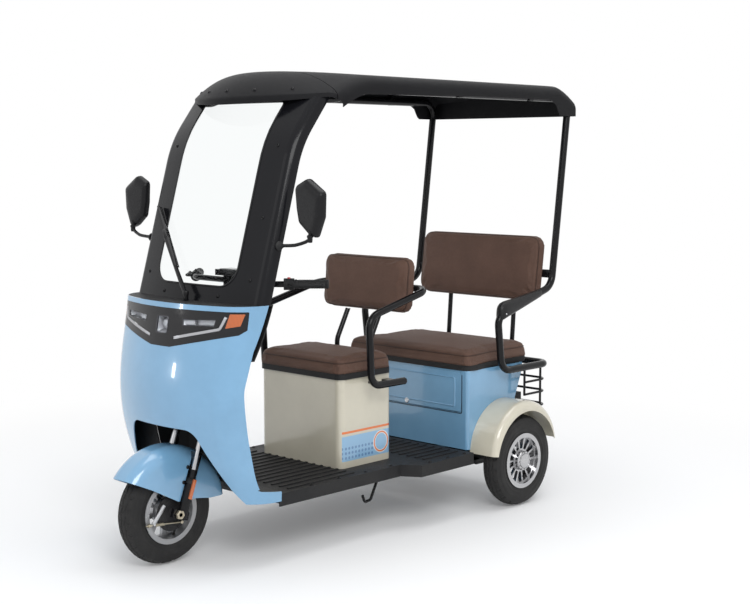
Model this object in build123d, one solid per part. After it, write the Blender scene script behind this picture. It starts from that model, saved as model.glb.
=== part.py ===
from build123d import *
import os
from math import cos, radians, sin, sqrt, tan

os.makedirs("parts", exist_ok=True)

# Electric passenger tricycle: one steered front wheel, two rear wheels, two bench seats and a canopy.
# Millimetres. While it is modelled, y runs rearward from the front axle, x to the rider's left, z up from the
# ground. The finished pieces are moved so that the origin is under the middle of the whole vehicle.

# Wheels
WHEELBASE = 1508.0
TYRE_OD = 376.0
TYRE_WIDTH = 80.0
RIM_OD = 228.0
BEAD_OD = 204.0
RIM_LIP = 4.0
AXLE_DIA = 24.0
HUB_DIA = 84.0
RUNNING_FIT = 0.05

# Steering
RAKE = 20.0
STEER_SETBACK = 49.0
FORK_LEAD = 25.4
LEG_X = 75.0
LEG_DIA = 28.0
STEERER_DIA = 26.0
HEAD_DIA = 46.0
HEAD_LOW = 302.0
HEAD_HIGH = 462.0
CROWN_THICK = 22.0
BAR_DIA = 22.0
BAR_Z = 985.0
BAR_BEND_X = 215.0
BAR_BEND_Y = 328.0
BAR_END_X = 357.0
BAR_END_Y = 465.0
GRIP_DIA = 34.0
GRIP_LENGTH = 118.0
LEVER_AHEAD = 35.0
FENDER_R = TYRE_OD / 2 + 50.0
FENDER_HALF = 70.0
FENDER_SHEET = 3.0

# Floor and chassis
FLOOR_TOP = 258.0
DECK_SHEET = 8.0
DECK_SKIRT = 46.0
DECK_FRONT = 252.0
DECK_STEP = 880.0
DECK_REAR = WHEELBASE - 271.0
DECK_HALF = 330.0
STEP_OUT = 70.0
RIB_HEIGHT = 4.0
RAIL_X = 200.0
RAIL_WIDTH = 40.0
RAIL_HEIGHT = 34.0
RAIL_FRONT = 270.0
RAIL_REAR = WHEELBASE + 242.0
DOWN_TUBE_DIA = 40.0

# Front shell, dash and windscreen
SHELL_WALL = 4.0
SHELL_BOW = 800.0
SHELL_CORNER = 130.0
SHELL_TOP = 930.0
SEAM = 0.5
DASH_WALL = 4.0
COVER_HALF = 160.0
COVER_REAR = 320.0
COVER_TOP = 620.0
TUB_TOP = 510.0
SPINE_HALF = 60.0
SCREEN_HALF = 350.0
SCREEN_BOW = 1700.0
SCREEN_RETURN = 40.0
SCREEN_SHEET = 4.0
SCREEN_BASE_Y = 118.0
SCREEN_TILT = 16.0
SCREEN_TOP_Z = 1648.0
SCREEN_KNEE_Z = SCREEN_TOP_Z - 224.0
SCREEN_KNEE_R = 450.0
SCREEN_TOP_TILT = 38.0
OPENING_HALF = 218.0
OPENING_LOW = SHELL_TOP + 55.0
OPENING_HIGH = SCREEN_TOP_Z - 20.0

# Canopy
ROOF_HALF = 398.0
ROOF_CROWN = SCREEN_TOP_Z + 97.0
ROOF_SAG = 23.0
ROOF_EDGE = ROOF_CROWN - 89.0
ROOF_OVERHANG = 113.0
ROOF_TAIL = 31.4
ROOF_VALANCE = ROOF_CROWN - 142.0
ROOF_CAP = 210.0
ROOF_SHEET = 4.0
ROOF_DOME_R = 1030.0
ROOF_DOME_TILT = 8.9

# Seats
FRONT_BOX_HALF = 223.0
FRONT_BOX_FRONT = 660.0
FRONT_BOX_REAR = FRONT_BOX_FRONT + 287.0
FRONT_BOX_TOP = 599.0
BOX_WALL = 4.0
PAN_HEIGHT = 22.0
PAN_GAP = 0.3
FRONT_PAD_HEIGHT = 62.0
FRONT_BACK_HALF = 240.0
FRONT_BACK_LOW = FRONT_BOX_TOP + 221.0
FRONT_BACK_HIGH = FRONT_BACK_LOW + 225.0
FRONT_BACK_Y = FRONT_BOX_REAR + 65.0
BACK_THICK = 48.0
FRONT_ARM_X = FRONT_BACK_HALF + 58.0
FRONT_ARM_DIA = 28.0
POST_X = ROOF_HALF - 22.0
REAR_BOX_HALF = POST_X - 46.0
REAR_BOX_FRONT = WHEELBASE - 227.0
REAR_BOX_TOP = 573.0
HATCH_HALF = REAR_BOX_HALF - 32.0
HATCH_HIGH = REAR_BOX_TOP - 8.0
HATCH_LOW = HATCH_HIGH - 165.0
REAR_PAD_HALF = REAR_BOX_HALF + 11.0
REAR_PAD_FRONT = WHEELBASE - 240.0
REAR_PAD_REAR = WHEELBASE + 196.0
REAR_PAD_WAIST = 18.0
REAR_PAD_HEIGHT = 62.0
REAR_BACK_HALF = REAR_BOX_HALF + 6.0
REAR_BACK_LOW = REAR_BOX_TOP + 247.0
REAR_BACK_HIGH = REAR_BACK_LOW + 287.0
POST_DIA = 30.0
POST_TILT = 7.3
POST_FOOT_Y = WHEELBASE + 273.0
POST_FOOT_Z = REAR_BOX_TOP + 340.0
RAIL_Z = ROOF_CROWN - 70.0
RIM_Z = REAR_BOX_TOP - 13.0
BASKET_REAR = WHEELBASE + 249.0
WIRE_DIA = 10.0

# Rear running gear
AXLE_TUBE_DIA = 52.0
DIFF_DIA = 114.0
MOTOR_DIA = 122.0
LEAF_WIDTH = 40.0
LEAF_THICK = 12.0
HALF_TRACK = REAR_BOX_HALF + 77.0
REAR_FENDER_R = TYRE_OD / 2 + 22.0
REAR_FENDER_LIFT = 40.0
REAR_LIP = 18.0
REAR_LIP_DROP = 23.0
REAR_FENDER_OUT = HALF_TRACK + 58.0
REAR_FENDER_SHEET = 3.0

STEP_HALF = REAR_BOX_HALF + STEP_OUT
AXLE_Z = TYRE_OD / 2
AXLE_R = AXLE_DIA / 2
RAIL_TOP = FLOOR_TOP - DECK_SHEET
RAIL_LOW = RAIL_TOP - RAIL_HEIGHT
POST_TOP_Y = POST_FOOT_Y + (RAIL_Z - POST_FOOT_Z) * tan(radians(POST_TILT))
ROOF_REAR = POST_TOP_Y + ROOF_TAIL
ORIGIN_Y = (ROOF_REAR - TYRE_OD / 2) / 2
STEER = Pos(0, STEER_SETBACK, AXLE_Z) * Rot(-RAKE, 0, 0)
AXLE_LOCAL_Y = -STEER_SETBACK * cos(radians(RAKE))
AXLE_LOCAL_Z = -STEER_SETBACK * sin(radians(RAKE))


def block(x0, x1, y0, y1, z0, z1):
    return Pos((x0 + x1) / 2, (y0 + y1) / 2, (z0 + z1) / 2) * Box(x1 - x0, y1 - y0, z1 - z0)


def side_prism(points, x0, x1, radius=0.0):
    face = make_face(FilletPolyline(*points, radius=radius, close=True))
    return extrude(Plane.YZ.offset(x0) * face, amount=x1 - x0)


def front_prism(points, y0, y1, radius=0.0):
    face = make_face(FilletPolyline(*points, radius=radius, close=True))
    return extrude(Plane.XZ.offset(-y1) * face, amount=y1 - y0)


def plan_prism(points, z0, z1, radius=0.0):
    face = make_face(FilletPolyline(*points, radius=radius, close=True))
    return extrude(Plane.XY.offset(z0) * face, amount=z1 - z0)


def tube(points, diameter, bend):
    path = FilletPolyline(*points, radius=bend) if len(points) > 2 else Line(*points)
    return sweep(Plane(origin=path @ 0, z_dir=path % 0) * Circle(diameter / 2), path=path)


def rod(start, end, diameter):
    return tube([start, end], diameter, 0)


def both(piece):
    return [piece, mirror(piece, about=Plane.YZ)]


def mirrored(points):
    return [(-p[0], *p[1:]) for p in reversed(points)]


def save(name, *pieces):
    solids = [s for p in pieces for s in p.solids()]
    export_step(Pos(0, -ORIGIN_Y, 0) * Compound(solids), "parts/" + name + ".step")


def ring(profile, centre):
    return Pos(*centre) * revolve(make_face(profile), axis=Axis.X)


# Tyre: round-shouldered 8-inch scooter tyre, solid down to its bead seat
def tyre(centre):
    half, top, bead = TYRE_WIDTH / 2, TYRE_OD / 2, BEAD_OD / 2
    seat, shoulder = half - 12, half - 6
    wall = (top - bead) * 0.5 + bead
    profile = Curve() + [
        Line((-seat, bead), (seat, bead)),
        ThreePointArc((seat, bead), (half, wall), (shoulder, top - 12)),
        ThreePointArc((shoulder, top - 12), (0, top), (-shoulder, top - 12)),
        ThreePointArc((-shoulder, top - 12), (-half, wall), (-seat, bead)),
    ]
    return ring(profile, centre)


# Rim: a barrel with two lips, a dished spoke disc with slots and a bored hub
def rim(centre, slots, slot_deg, disc_x, disc_thick, hub_x0, hub_x1, bore_dia):
    barrel_r, lip_r = BEAD_OD / 2, RIM_OD / 2
    inner_r = barrel_r - 6
    lip_x = TYRE_WIDTH / 2 - 5
    profile = Polyline(
        (-lip_x - RIM_LIP, inner_r), (lip_x + RIM_LIP, inner_r), (lip_x + RIM_LIP, lip_r), (lip_x, lip_r),
        (lip_x, barrel_r), (-lip_x, barrel_r), (-lip_x, lip_r), (-lip_x - RIM_LIP, lip_r), close=True)
    hub_r = HUB_DIA / 2
    part = ring(profile, (0, 0, 0))
    disc = Rot(0, 90, 0) * (Cylinder(inner_r + 1, disc_thick) - Cylinder(hub_r - 1, disc_thick))
    part += Pos(disc_x, 0, 0) * disc
    r0, r1 = hub_r + 6, inner_r - 4
    slot_face = make_face(Curve() + [
        Line((r0, 0), (r1, 0)),
        CenterArc((0, 0), r1, 0, slot_deg),
        Line((r1 * cos(radians(slot_deg)), r1 * sin(radians(slot_deg))),
             (r0 * cos(radians(slot_deg)), r0 * sin(radians(slot_deg)))),
        CenterArc((0, 0), r0, 0, slot_deg),
    ])
    cutter = extrude(Plane.YZ.offset(disc_x - disc_thick) * slot_face, amount=2 * disc_thick)
    for k in range(slots):
        part -= Rot(360.0 * k / slots, 0, 0) * cutter
    hub = Pos((hub_x0 + hub_x1) / 2, 0, 0) * Rot(0, 90, 0) * Cylinder(hub_r, hub_x1 - hub_x0)
    part += hub
    part -= Rot(0, 90, 0) * Cylinder(bore_dia / 2 + RUNNING_FIT, 4 * TYRE_WIDTH)
    return Pos(*centre) * part


FRONT_AXLE = (0, 0, AXLE_Z)
FRONT_PIN_DIA = 14.0
save("front_tyre", tyre(FRONT_AXLE))
save("front_rim", rim(FRONT_AXLE, 9, 24.0, -12.0, 14.0, -46.0, 34.0, FRONT_PIN_DIA))
for name, side in (("left", 1), ("right", -1)):
    wheel_centre = (side * HALF_TRACK, WHEELBASE, AXLE_Z)
    save("rear_tyre_" + name, tyre(wheel_centre))
    disc_x = side * 14.0
    hub_span = sorted((side * -52.0, side * 34.0))
    save("rear_rim_" + name, rim(wheel_centre, 14, 18.5, disc_x, 14.0, *hub_span, AXLE_DIA))

# Fork: two slider legs, a lower crown, the wheel pin and the steerer tube that runs up to the handlebar
leg_low = AXLE_LOCAL_Z - 8
crown_low = HEAD_LOW - 0.5 - CROWN_THICK
bar_centre_z = (BAR_Z - AXLE_Z) / cos(radians(RAKE))
fork = Pos(0, 0, (crown_low + bar_centre_z) / 2) * Cylinder(STEERER_DIA / 2, bar_centre_z - crown_low)
crown_face = SlotOverall(2 * LEG_X + LEG_DIA + 16, LEG_DIA + 16)
fork += Pos(0, -FORK_LEAD, crown_low) * extrude(crown_face, amount=CROWN_THICK)
fork += Pos(0, -FORK_LEAD / 2, crown_low + CROWN_THICK / 2) * Box(60, FORK_LEAD + 30, CROWN_THICK)
for side in (1, -1):
    leg = Pos(side * LEG_X, -FORK_LEAD, (leg_low + crown_low) / 2) * Cylinder(LEG_DIA / 2, crown_low - leg_low)
    slider_high = AXLE_LOCAL_Z + 120
    slider = Cylinder(LEG_DIA / 2 + 4, slider_high - leg_low)
    fork += leg
    fork += Pos(side * LEG_X, -FORK_LEAD, (leg_low + slider_high) / 2) * slider
    lug_y = (AXLE_LOCAL_Y - FORK_LEAD) / 2
    fork += Pos(side * LEG_X, lug_y, AXLE_LOCAL_Z) * Box(14, FORK_LEAD - AXLE_LOCAL_Y, 30)
    fork += Pos(side * LEG_X, AXLE_LOCAL_Y, AXLE_LOCAL_Z) * Rot(0, 90, 0) * Cylinder(16, 14)
    for lug_z in (95.0, 150.0):
        lug_x = FENDER_HALF - FENDER_SHEET - 0.3 - 3
        fork += Pos(side * lug_x, -FORK_LEAD - 14, lug_z) * Box(6, 30, 14)
pin = Pos(0, AXLE_LOCAL_Y, AXLE_LOCAL_Z) * Rot(0, 90, 0) * Cylinder(FRONT_PIN_DIA / 2, 2 * LEG_X + 36)
fork = STEER * (fork + pin)

# Front brake: a fixed back plate beside the hub, with its arm
plate = Pos(42.0, 0, AXLE_Z) * Rot(0, 90, 0) * Cylinder(66, 8)
plate += Pos(50.0, -30.0, AXLE_Z - 30) * Rot(45, 0, 0) * Box(8, 14, 96)
plate += Pos(51.0, 0, AXLE_Z) * Rot(0, 90, 0) * Cylinder(15, 10)
plate -= Pos(50.0, 0, AXLE_Z) * Rot(0, 90, 0) * Cylinder(FRONT_PIN_DIA / 2 + RUNNING_FIT, 40)


# Front fender: a deep rounded drum over the tyre, cut away along the fork legs, with a flap behind them
def drum(inset):
    r, half = FENDER_R - inset, FENDER_HALF - inset
    round_r = 48.0 - inset
    profile = Curve() + [
        Line((-half, 0), (half, 0)),
        Line((half, 0), (half, r - round_r)),
        JernArc((half, r - round_r), (0, 1), round_r, 90),
        Line((half - round_r, r), (round_r - half, r)),
        JernArc((round_r - half, r), (-1, 0), round_r, 90),
        Line((-half, r - round_r), (-half, 0)),
    ]
    return ring(profile, FRONT_AXLE)


fender = drum(0) - drum(FENDER_SHEET)
tip_z = AXLE_Z + 0.73 * FENDER_R
low_z = AXLE_Z + 42.0
keep = side_prism([(-FENDER_R - 5, tip_z - 8), (-100, AXLE_Z + 100), (8, low_z), (90, low_z - 2), (150, low_z - 12),
                   (FENDER_R + 5, low_z - 12), (FENDER_R + 5, AXLE_Z + FENDER_R + 5),
                   (-FENDER_R - 5, AXLE_Z + FENDER_R + 5)], -FENDER_HALF, FENDER_HALF)
fender = fender & keep
slot_half = LEG_DIA / 2 + 7
for side in (1, -1):
    slot = Pos(side * FENDER_HALF, -FORK_LEAD, 90) * Box(40, 2 * slot_half, 244)
    fender -= STEER * slot

fork -= fender
save("front_brake", plate)
save("front_fender", max(fender.solids(), key=lambda s: s.volume))
reflectors = []
for side in (1, -1):
    slider_r = LEG_DIA / 2 + 4
    lens = Pos(side * (LEG_X + slider_r - 1), -FORK_LEAD, 78) * Box(8, 14, 70)
    reflectors.append(STEER * (lens - Pos(side * LEG_X, -FORK_LEAD, 78) * Cylinder(slider_r, 90)))
save("fork_reflectors", *reflectors)

# Handlebar: one bent tube on a clamp block, with swept ends, grips, switch pods and brake levers
stem_y = STEER_SETBACK + (BAR_Z - AXLE_Z) * tan(radians(RAKE))
bar_points = [(BAR_END_X, BAR_END_Y, BAR_Z), (BAR_BEND_X, BAR_BEND_Y, BAR_Z)]
bar = tube(bar_points + mirrored(bar_points), BAR_DIA, 60.0)
clamp_low = BAR_Z - 34.0
clamp = block(-30, 30, BAR_BEND_Y - 18, stem_y + 20, BAR_Z - 20, BAR_Z + 18)
pod = block(-62, 62, BAR_BEND_Y - 30, stem_y + 34, BAR_Z + 18, BAR_Z + 40)
steer_cut = STEER * Pos(0, 0, bar_centre_z) * Cylinder(STEERER_DIA / 2, 80)
clamp = clamp - bar - steer_cut
sweep_len = sqrt((BAR_END_X - BAR_BEND_X) ** 2 + (BAR_END_Y - BAR_BEND_Y) ** 2)
ux, uy = (BAR_END_X - BAR_BEND_X) / sweep_len, (BAR_END_Y - BAR_BEND_Y) / sweep_len
grips, controls = [], []
for side in (1, -1):
    def at(along, ahead=0.0, up=0.0):
        x = BAR_END_X - along * ux + ahead * uy
        y = BAR_END_Y - along * uy - ahead * ux
        return (side * x, y, BAR_Z + up)
    grip = rod(at(-4), at(GRIP_LENGTH), GRIP_DIA) - rod(at(0), at(GRIP_LENGTH + 5), BAR_DIA)
    grips.append(grip)
    switch = rod(at(GRIP_LENGTH + 1), at(GRIP_LENGTH + 38), 42.0)
    switch -= rod(at(GRIP_LENGTH), at(GRIP_LENGTH + 40), BAR_DIA)
    lever = tube([at(GRIP_LENGTH + 20, 15), at(GRIP_LENGTH + 8, LEVER_AHEAD + 4), at(16, LEVER_AHEAD)], 10.0, 12.0)
    lever += Pos(*at(16, LEVER_AHEAD)) * Sphere(7)
    controls.append(switch - rod(at(GRIP_LENGTH), at(GRIP_LENGTH + 40), BAR_DIA))
    controls.append(lever - rod(at(GRIP_LENGTH), at(GRIP_LENGTH + 40), 42.0))
save("handlebar", bar, clamp, pod)
save("front_fork", max((fork - bar).solids(), key=lambda s: s.volume))
save("grips", *grips)
save("hand_controls", *controls)

# Chassis: two long rails, cross members, outriggers under the deck, a down tube and the head tube
rail_x0, rail_x1 = RAIL_X - RAIL_WIDTH / 2, RAIL_X + RAIL_WIDTH / 2
frame = block(rail_x0, rail_x1, RAIL_FRONT, RAIL_REAR, RAIL_LOW, RAIL_TOP)
frame += block(-rail_x1, -rail_x0, RAIL_FRONT, RAIL_REAR, RAIL_LOW, RAIL_TOP)
deck_wall = 5.0
cross_rows = [
    # y start, y end, half width
    (RAIL_FRONT, RAIL_FRONT + 44, DECK_HALF - deck_wall - 1),
    (FRONT_BOX_FRONT + 10, FRONT_BOX_FRONT + 44, DECK_HALF - deck_wall - 1),
    (FRONT_BOX_FRONT + 155, FRONT_BOX_FRONT + 189, DECK_HALF - deck_wall - 1),
    (DECK_STEP + 60, DECK_STEP + 94, STEP_HALF - deck_wall - 1),
    (DECK_REAR - 60, DECK_REAR - 26, STEP_HALF - deck_wall - 1),
    (REAR_BOX_FRONT + 10, REAR_BOX_FRONT + 44, REAR_BOX_HALF),
    (RAIL_REAR - 150, RAIL_REAR - 116, REAR_BOX_HALF),
    (RAIL_REAR - 34, RAIL_REAR, RAIL_X),
]
for y0, y1, half in cross_rows:
    frame += block(-half, half, y0, y1, RAIL_LOW, RAIL_TOP)
head_mid = (HEAD_LOW + HEAD_HIGH) / 2
head = STEER * Pos(0, 0, head_mid) * Cylinder(HEAD_DIA / 2, HEAD_HIGH - HEAD_LOW)
head_at = (STEER * Pos(0, 0, head_mid)).position
foot_y = RAIL_FRONT + 22
down = tube([(0, head_at.Y, head_at.Z), (0, foot_y, head_at.Z - 90), (0, foot_y, RAIL_TOP - 10)],
            DOWN_TUBE_DIA, 60.0)
frame += head
frame += down
bore = STEER * Pos(0, 0, head_mid) * Cylinder(STEERER_DIA / 2 + RUNNING_FIT, HEAD_HIGH - HEAD_LOW + 60)
frame -= bore
save("chassis_frame", frame)

# Floor deck: a moulded black tray with a skirt, wider at the rear step, with long ribs on its tread
outline = [(-DECK_HALF, DECK_FRONT), (DECK_HALF, DECK_FRONT), (DECK_HALF, DECK_STEP), (STEP_HALF, DECK_STEP + 45),
           (STEP_HALF, DECK_REAR), (-STEP_HALF, DECK_REAR), (-STEP_HALF, DECK_STEP + 45), (-DECK_HALF, DECK_STEP)]
inner = [(-DECK_HALF + deck_wall, DECK_FRONT - 5), (DECK_HALF - deck_wall, DECK_FRONT - 5),
         (DECK_HALF - deck_wall, DECK_STEP + 3), (STEP_HALF - deck_wall, DECK_STEP + 48),
         (STEP_HALF - deck_wall, DECK_REAR + 5), (-STEP_HALF + deck_wall, DECK_REAR + 5),
         (-STEP_HALF + deck_wall, DECK_STEP + 48), (-DECK_HALF + deck_wall, DECK_STEP + 3)]
deck = plan_prism(outline, FLOOR_TOP - DECK_SKIRT, FLOOR_TOP)
deck -= plan_prism(inner, FLOOR_TOP - DECK_SKIRT - 5, FLOOR_TOP - DECK_SHEET)
rib_pitch = 42.0
front_ribs = int((DECK_HALF - 30) / rib_pitch)
for k in range(-front_ribs, front_ribs + 1):
    x = k * rib_pitch
    deck += block(x - 5, x + 5, DECK_FRONT + 70, FRONT_BOX_FRONT - 2, FLOOR_TOP - 1, FLOOR_TOP + RIB_HEIGHT)
rear_ribs = int((min(STEP_HALF, DECK_HALF + STEP_OUT) - 40) / rib_pitch)
well = DECK_REAR - FRONT_BOX_REAR
for k in range(-rear_ribs, rear_ribs + 1):
    x = k * rib_pitch
    deck += block(x - 5, x + 5, FRONT_BOX_REAR + 0.2 * well, DECK_REAR - 0.09 * well, FLOOR_TOP - 1, FLOOR_TOP + RIB_HEIGHT)
arch_y, arch_z = WHEELBASE, AXLE_Z + REAR_FENDER_LIFT
for side in (1, -1):
    notch_x = side * (REAR_BOX_HALF + 100 - 4)
    deck -= Pos(notch_x, arch_y, arch_z) * Rot(0, 90, 0) * Cylinder(REAR_FENDER_R + 3, 200)
deck -= rod((0, foot_y, RAIL_TOP - 20), (0, foot_y, FLOOR_TOP + 40), DOWN_TUBE_DIA + 2 * SEAM)
save("floor_deck", deck)

# Front shell: a lofted nose, open behind and below, with a wheel arch and a swept-back rear edge
SHELL_ROWS = [
    # z, y of the nose, half width
    (SHELL_TOP, 14.0, SCREEN_HALF),
    (SHELL_TOP - 80, 4.0, SCREEN_HALF + 2),
    (SHELL_TOP - 295, -29.0, SCREEN_HALF - 4),
    (SHELL_TOP - 510, -2.0, SCREEN_HALF - 5),
    (SHELL_TOP - 694, 70.0, SCREEN_HALF - 5),
]
SHELL_BACK = 268.0


def shell_plan(z, nose, half, corner):
    sag = SHELL_BOW - sqrt(SHELL_BOW**2 - half**2)
    front = ThreePointArc((-half, nose + sag), (0, nose), (half, nose + sag))
    back = Polyline((half, nose + sag), (half, SHELL_BACK), (-half, SHELL_BACK), (-half, nose + sag))
    face = make_face(Curve() + front + back)
    corners = [v for v in face.vertices() if v.Y < SHELL_BACK - 1]
    return Plane.XY.offset(z) * fillet(corners, corner)


def nose_loft(inset):
    return loft([shell_plan(z, nose + inset, half - inset, SHELL_CORNER - inset) for z, nose, half in SHELL_ROWS])


SHELL_EDGE = [(190, SHELL_TOP), (146, 828), (60, 640), (66, 575), (122, 340), (150, 284), (246, 271)]


def edge_line(shift):
    return [(y + shift, z) for y, z in SHELL_EDGE]


outer = nose_loft(0)
hollow = nose_loft(SHELL_WALL)
skin = outer - hollow
behind = edge_line(0) + [(246, 236 - 10), (SHELL_BACK + 40, 236 - 10), (SHELL_BACK + 40, SHELL_TOP + 10),
                         (190, SHELL_TOP + 10)]
skin -= side_prism(behind, -SCREEN_HALF - 40, SCREEN_HALF + 40, [0, 60, 60, 60, 40, 30, 0, 0, 0, 0, 0])
ARCH = [(-303, 215), (-262, 285), (-168, 497), (168, 497), (262, 285), (303, 215)]
skin -= front_prism(ARCH, -120, SHELL_BACK + 20, [0, 60, 60, 60, 60, 0])


def lamp_prism(points, radius):
    return front_prism(points, -80.0, 160.0, radius)


BAND = [(334, 912), (-334, 912), (-334, 850), (-318, 834), (-52, 779), (52, 779), (318, 834), (334, 850)]
band_cut = lamp_prism(BAND, 4.0)
band_fill = lamp_prism([(x - SEAM * (1 if x > 0 else -1), z - SEAM * (1 if z > 840 else -1)) for x, z in BAND], 4.0)
wall = outer - hollow
lamp_rows = [
    # outline in x and z of each lens on the left half; the right half mirrors it
    ("head", [(104, 856), (236, 862), (240, 883), (100, 878)]),
    ("head", [(64, 806), (262, 848), (282, 896), (271, 896), (252, 859), (64, 817)]),
    ("turn", [(277, 856), (319, 865), (327, 905), (288, 905)]),
]
lens_sets = {"head": [lamp_prism([(-30, 824), (30, 824), (30, 882), (-30, 882)], 8.0)], "turn": []}
for kind, points in lamp_rows:
    lens_sets[kind] += both(lamp_prism(points, 2.0))
band = wall & band_fill
headlamps, turns = [], []
for lens in lens_sets["head"]:
    headlamps.append(band & lens)
for lens in lens_sets["turn"]:
    turns.append(band & lens)
for lens in lens_sets["head"] + lens_sets["turn"]:
    band -= lens
skin -= band_cut
save("front_shell", max(skin.solids(), key=lambda s: s.volume))
save("lamp_band", max(band.solids(), key=lambda s: s.volume))
save("headlamps", *headlamps)
save("indicators", *turns)

# Dash: a folded black moulding that closes the top of the shell and carries the windscreen
inside = nose_loft(SHELL_WALL + 0.3)
dash_out = [(-20, SHELL_TOP), (214, SHELL_TOP), (172, 828), (128, 742), (-40, 742)]
dash_in = [(-60, SHELL_TOP - DASH_WALL), (209, SHELL_TOP - DASH_WALL), (167, 829), (125, 742 + DASH_WALL),
           (-60, 742 + DASH_WALL)]
wide = SCREEN_HALF + 40
dash = side_prism(dash_out, -wide, wide) - side_prism(dash_in, -wide, wide)
dash = dash & inside
save("dash_panel", max(dash.solids(), key=lambda s: s.volume))

# Leg shield: a black sheet along the rear edge of the shell, open in the middle for the wheel tub
shield_top = 742.0 - 0.5
line_rows = [(108, shield_top), (60, 640), (66, 575), (122, 340), (150, 284), (246, 271)]
shield = side_prism([(y, z) for y, z in line_rows] + [(y - 4, z - 3) for y, z in reversed(line_rows)], -wide, wide)
shield = shield & inside
tub_half = [(COVER_HALF, 20), (COVER_HALF, COVER_REAR - 127), (COVER_HALF - 30, COVER_REAR - 98),
            (COVER_HALF - 70, COVER_REAR - 75), (SPINE_HALF, COVER_REAR - 66)]
spine_half = [(SPINE_HALF, 20), (SPINE_HALF, COVER_REAR - 58), (SPINE_HALF / 2, COVER_REAR)]
tub_face = make_face(Polyline(*tub_half, *mirrored(tub_half), close=True))
spine_face = make_face(Polyline(*spine_half, *mirrored(spine_half), close=True))


def well(face, grow, z0, z1):
    return extrude(Plane.XY.offset(z0) * offset(face, amount=grow, kind=Kind.INTERSECTION), amount=z1 - z0)


shield -= well(tub_face, 0.3, 200, TUB_TOP + 0.3)
shield -= well(spine_face, 0.3, 200, COVER_TOP + 0.3)
save("leg_shield", *shield.solids())

# Column cover: a black tub round the swing of the front wheel with a narrow spine over the steering head
cw = 4.0
cover = well(tub_face, 0, FLOOR_TOP, TUB_TOP) + well(spine_face, 0, FLOOR_TOP, COVER_TOP)
cover -= well(tub_face, -cw, FLOOR_TOP - 5, TUB_TOP - cw) + well(spine_face, -cw, FLOOR_TOP - 5, COVER_TOP - cw)
cover -= side_prism([(y + 0.3, z) for y, z in line_rows] + [(246, 200), (-60, 200), (-60, shield_top)], -wide, wide)
cover -= block(-COVER_HALF - 1, COVER_HALF + 1, 0, DECK_FRONT + 0.3, FLOOR_TOP - 1, 290)
cover -= STEER * Pos(0, 0, head_mid) * Cylinder(HEAD_DIA / 2 + 1, 2 * (HEAD_HIGH - HEAD_LOW))
save("column_cover", max(cover.solids(), key=lambda s: s.volume))


# Windscreen surround: one bent black sheet with side returns, swept up a straight run and into the roof
def screen_face(inset):
    half = SCREEN_HALF - inset
    sag = SCREEN_BOW - sqrt(SCREEN_BOW**2 - half**2)
    depth = SCREEN_RETURN + SCREEN_BOW - sqrt(SCREEN_BOW**2 - SCREEN_HALF**2)
    front = ThreePointArc((-half, -sag - inset), (0, -inset), (half, -sag - inset))
    back = Polyline((half, -sag - inset), (half, -depth), (-half, -depth), (-half, -sag - inset))
    face = make_face(Curve() + front + back)
    corners = [v for v in face.vertices() if v.Y > -depth + 1]
    return fillet(corners, 40.0 - inset)


tilt, top_tilt = radians(SCREEN_TILT), radians(SCREEN_TOP_TILT)
knee_y = SCREEN_BASE_Y + (SCREEN_KNEE_Z - SHELL_TOP) * tan(tilt)
bend_y = knee_y + SCREEN_KNEE_R * (cos(tilt) - cos(top_tilt))
bend_z = SCREEN_KNEE_Z + SCREEN_KNEE_R * (sin(top_tilt) - sin(tilt))
low_z = SHELL_TOP - 60
low_y = SCREEN_BASE_Y - 60 * tan(tilt)
end_z = SCREEN_TOP_Z + 60
end_y = bend_y + (end_z - bend_z) * tan(top_tilt)
screen_path = Wire([
    Line((0, low_y, low_z), (0, knee_y, SCREEN_KNEE_Z)),
    TangentArc((0, knee_y, SCREEN_KNEE_Z), (0, bend_y, bend_z), tangent=(0, sin(tilt), cos(tilt))),
    Line((0, bend_y, bend_z), (0, end_y, end_z)),
])
screen_plane = Plane(origin=(0, low_y, low_z), x_dir=(1, 0, 0), z_dir=(0, sin(tilt), cos(tilt)))


def screen_bar(inset):
    face = screen_face(inset)
    flipped = Plane(origin=screen_plane.origin, x_dir=(-1, 0, 0), z_dir=screen_plane.z_dir)
    return sweep(flipped * face, path=screen_path)


surround = screen_bar(0) - screen_bar(SCREEN_SHEET)
trim_low = block(-500, 500, -200, end_y + 400, SHELL_TOP - 230, SHELL_TOP + 0.3)
trim_high = block(-500, 500, -200, end_y + 400, SCREEN_TOP_Z, SCREEN_TOP_Z + 252)
surround = surround - trim_low - trim_high
window = [(-OPENING_HALF, OPENING_LOW), (OPENING_HALF, OPENING_LOW), (OPENING_HALF, OPENING_HIGH),
          (-OPENING_HALF, OPENING_HIGH)]
glass = [(x - SEAM * (1 if x > 0 else -1), z - SEAM * (1 if z == OPENING_HIGH else -1)) for x, z in window]
pane = surround & front_prism(glass, 0, end_y + 250, [70, 70, 14, 14])
surround -= front_prism(window, 0, end_y + 250, [70, 70, 14, 14])
save("windscreen_frame", max(surround.solids(), key=lambda s: s.volume))
save("windscreen_pane", max(pane.solids(), key=lambda s: s.volume))


# Canopy: a moulded roof with a bowed front lip and a rear valance, in a front cap and a main panel
screen_top_y = bend_y + (SCREEN_TOP_Z - bend_z) * tan(top_tilt)
roof_front = screen_top_y - ROOF_OVERHANG
roof_seam = roof_front + ROOF_CAP


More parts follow.
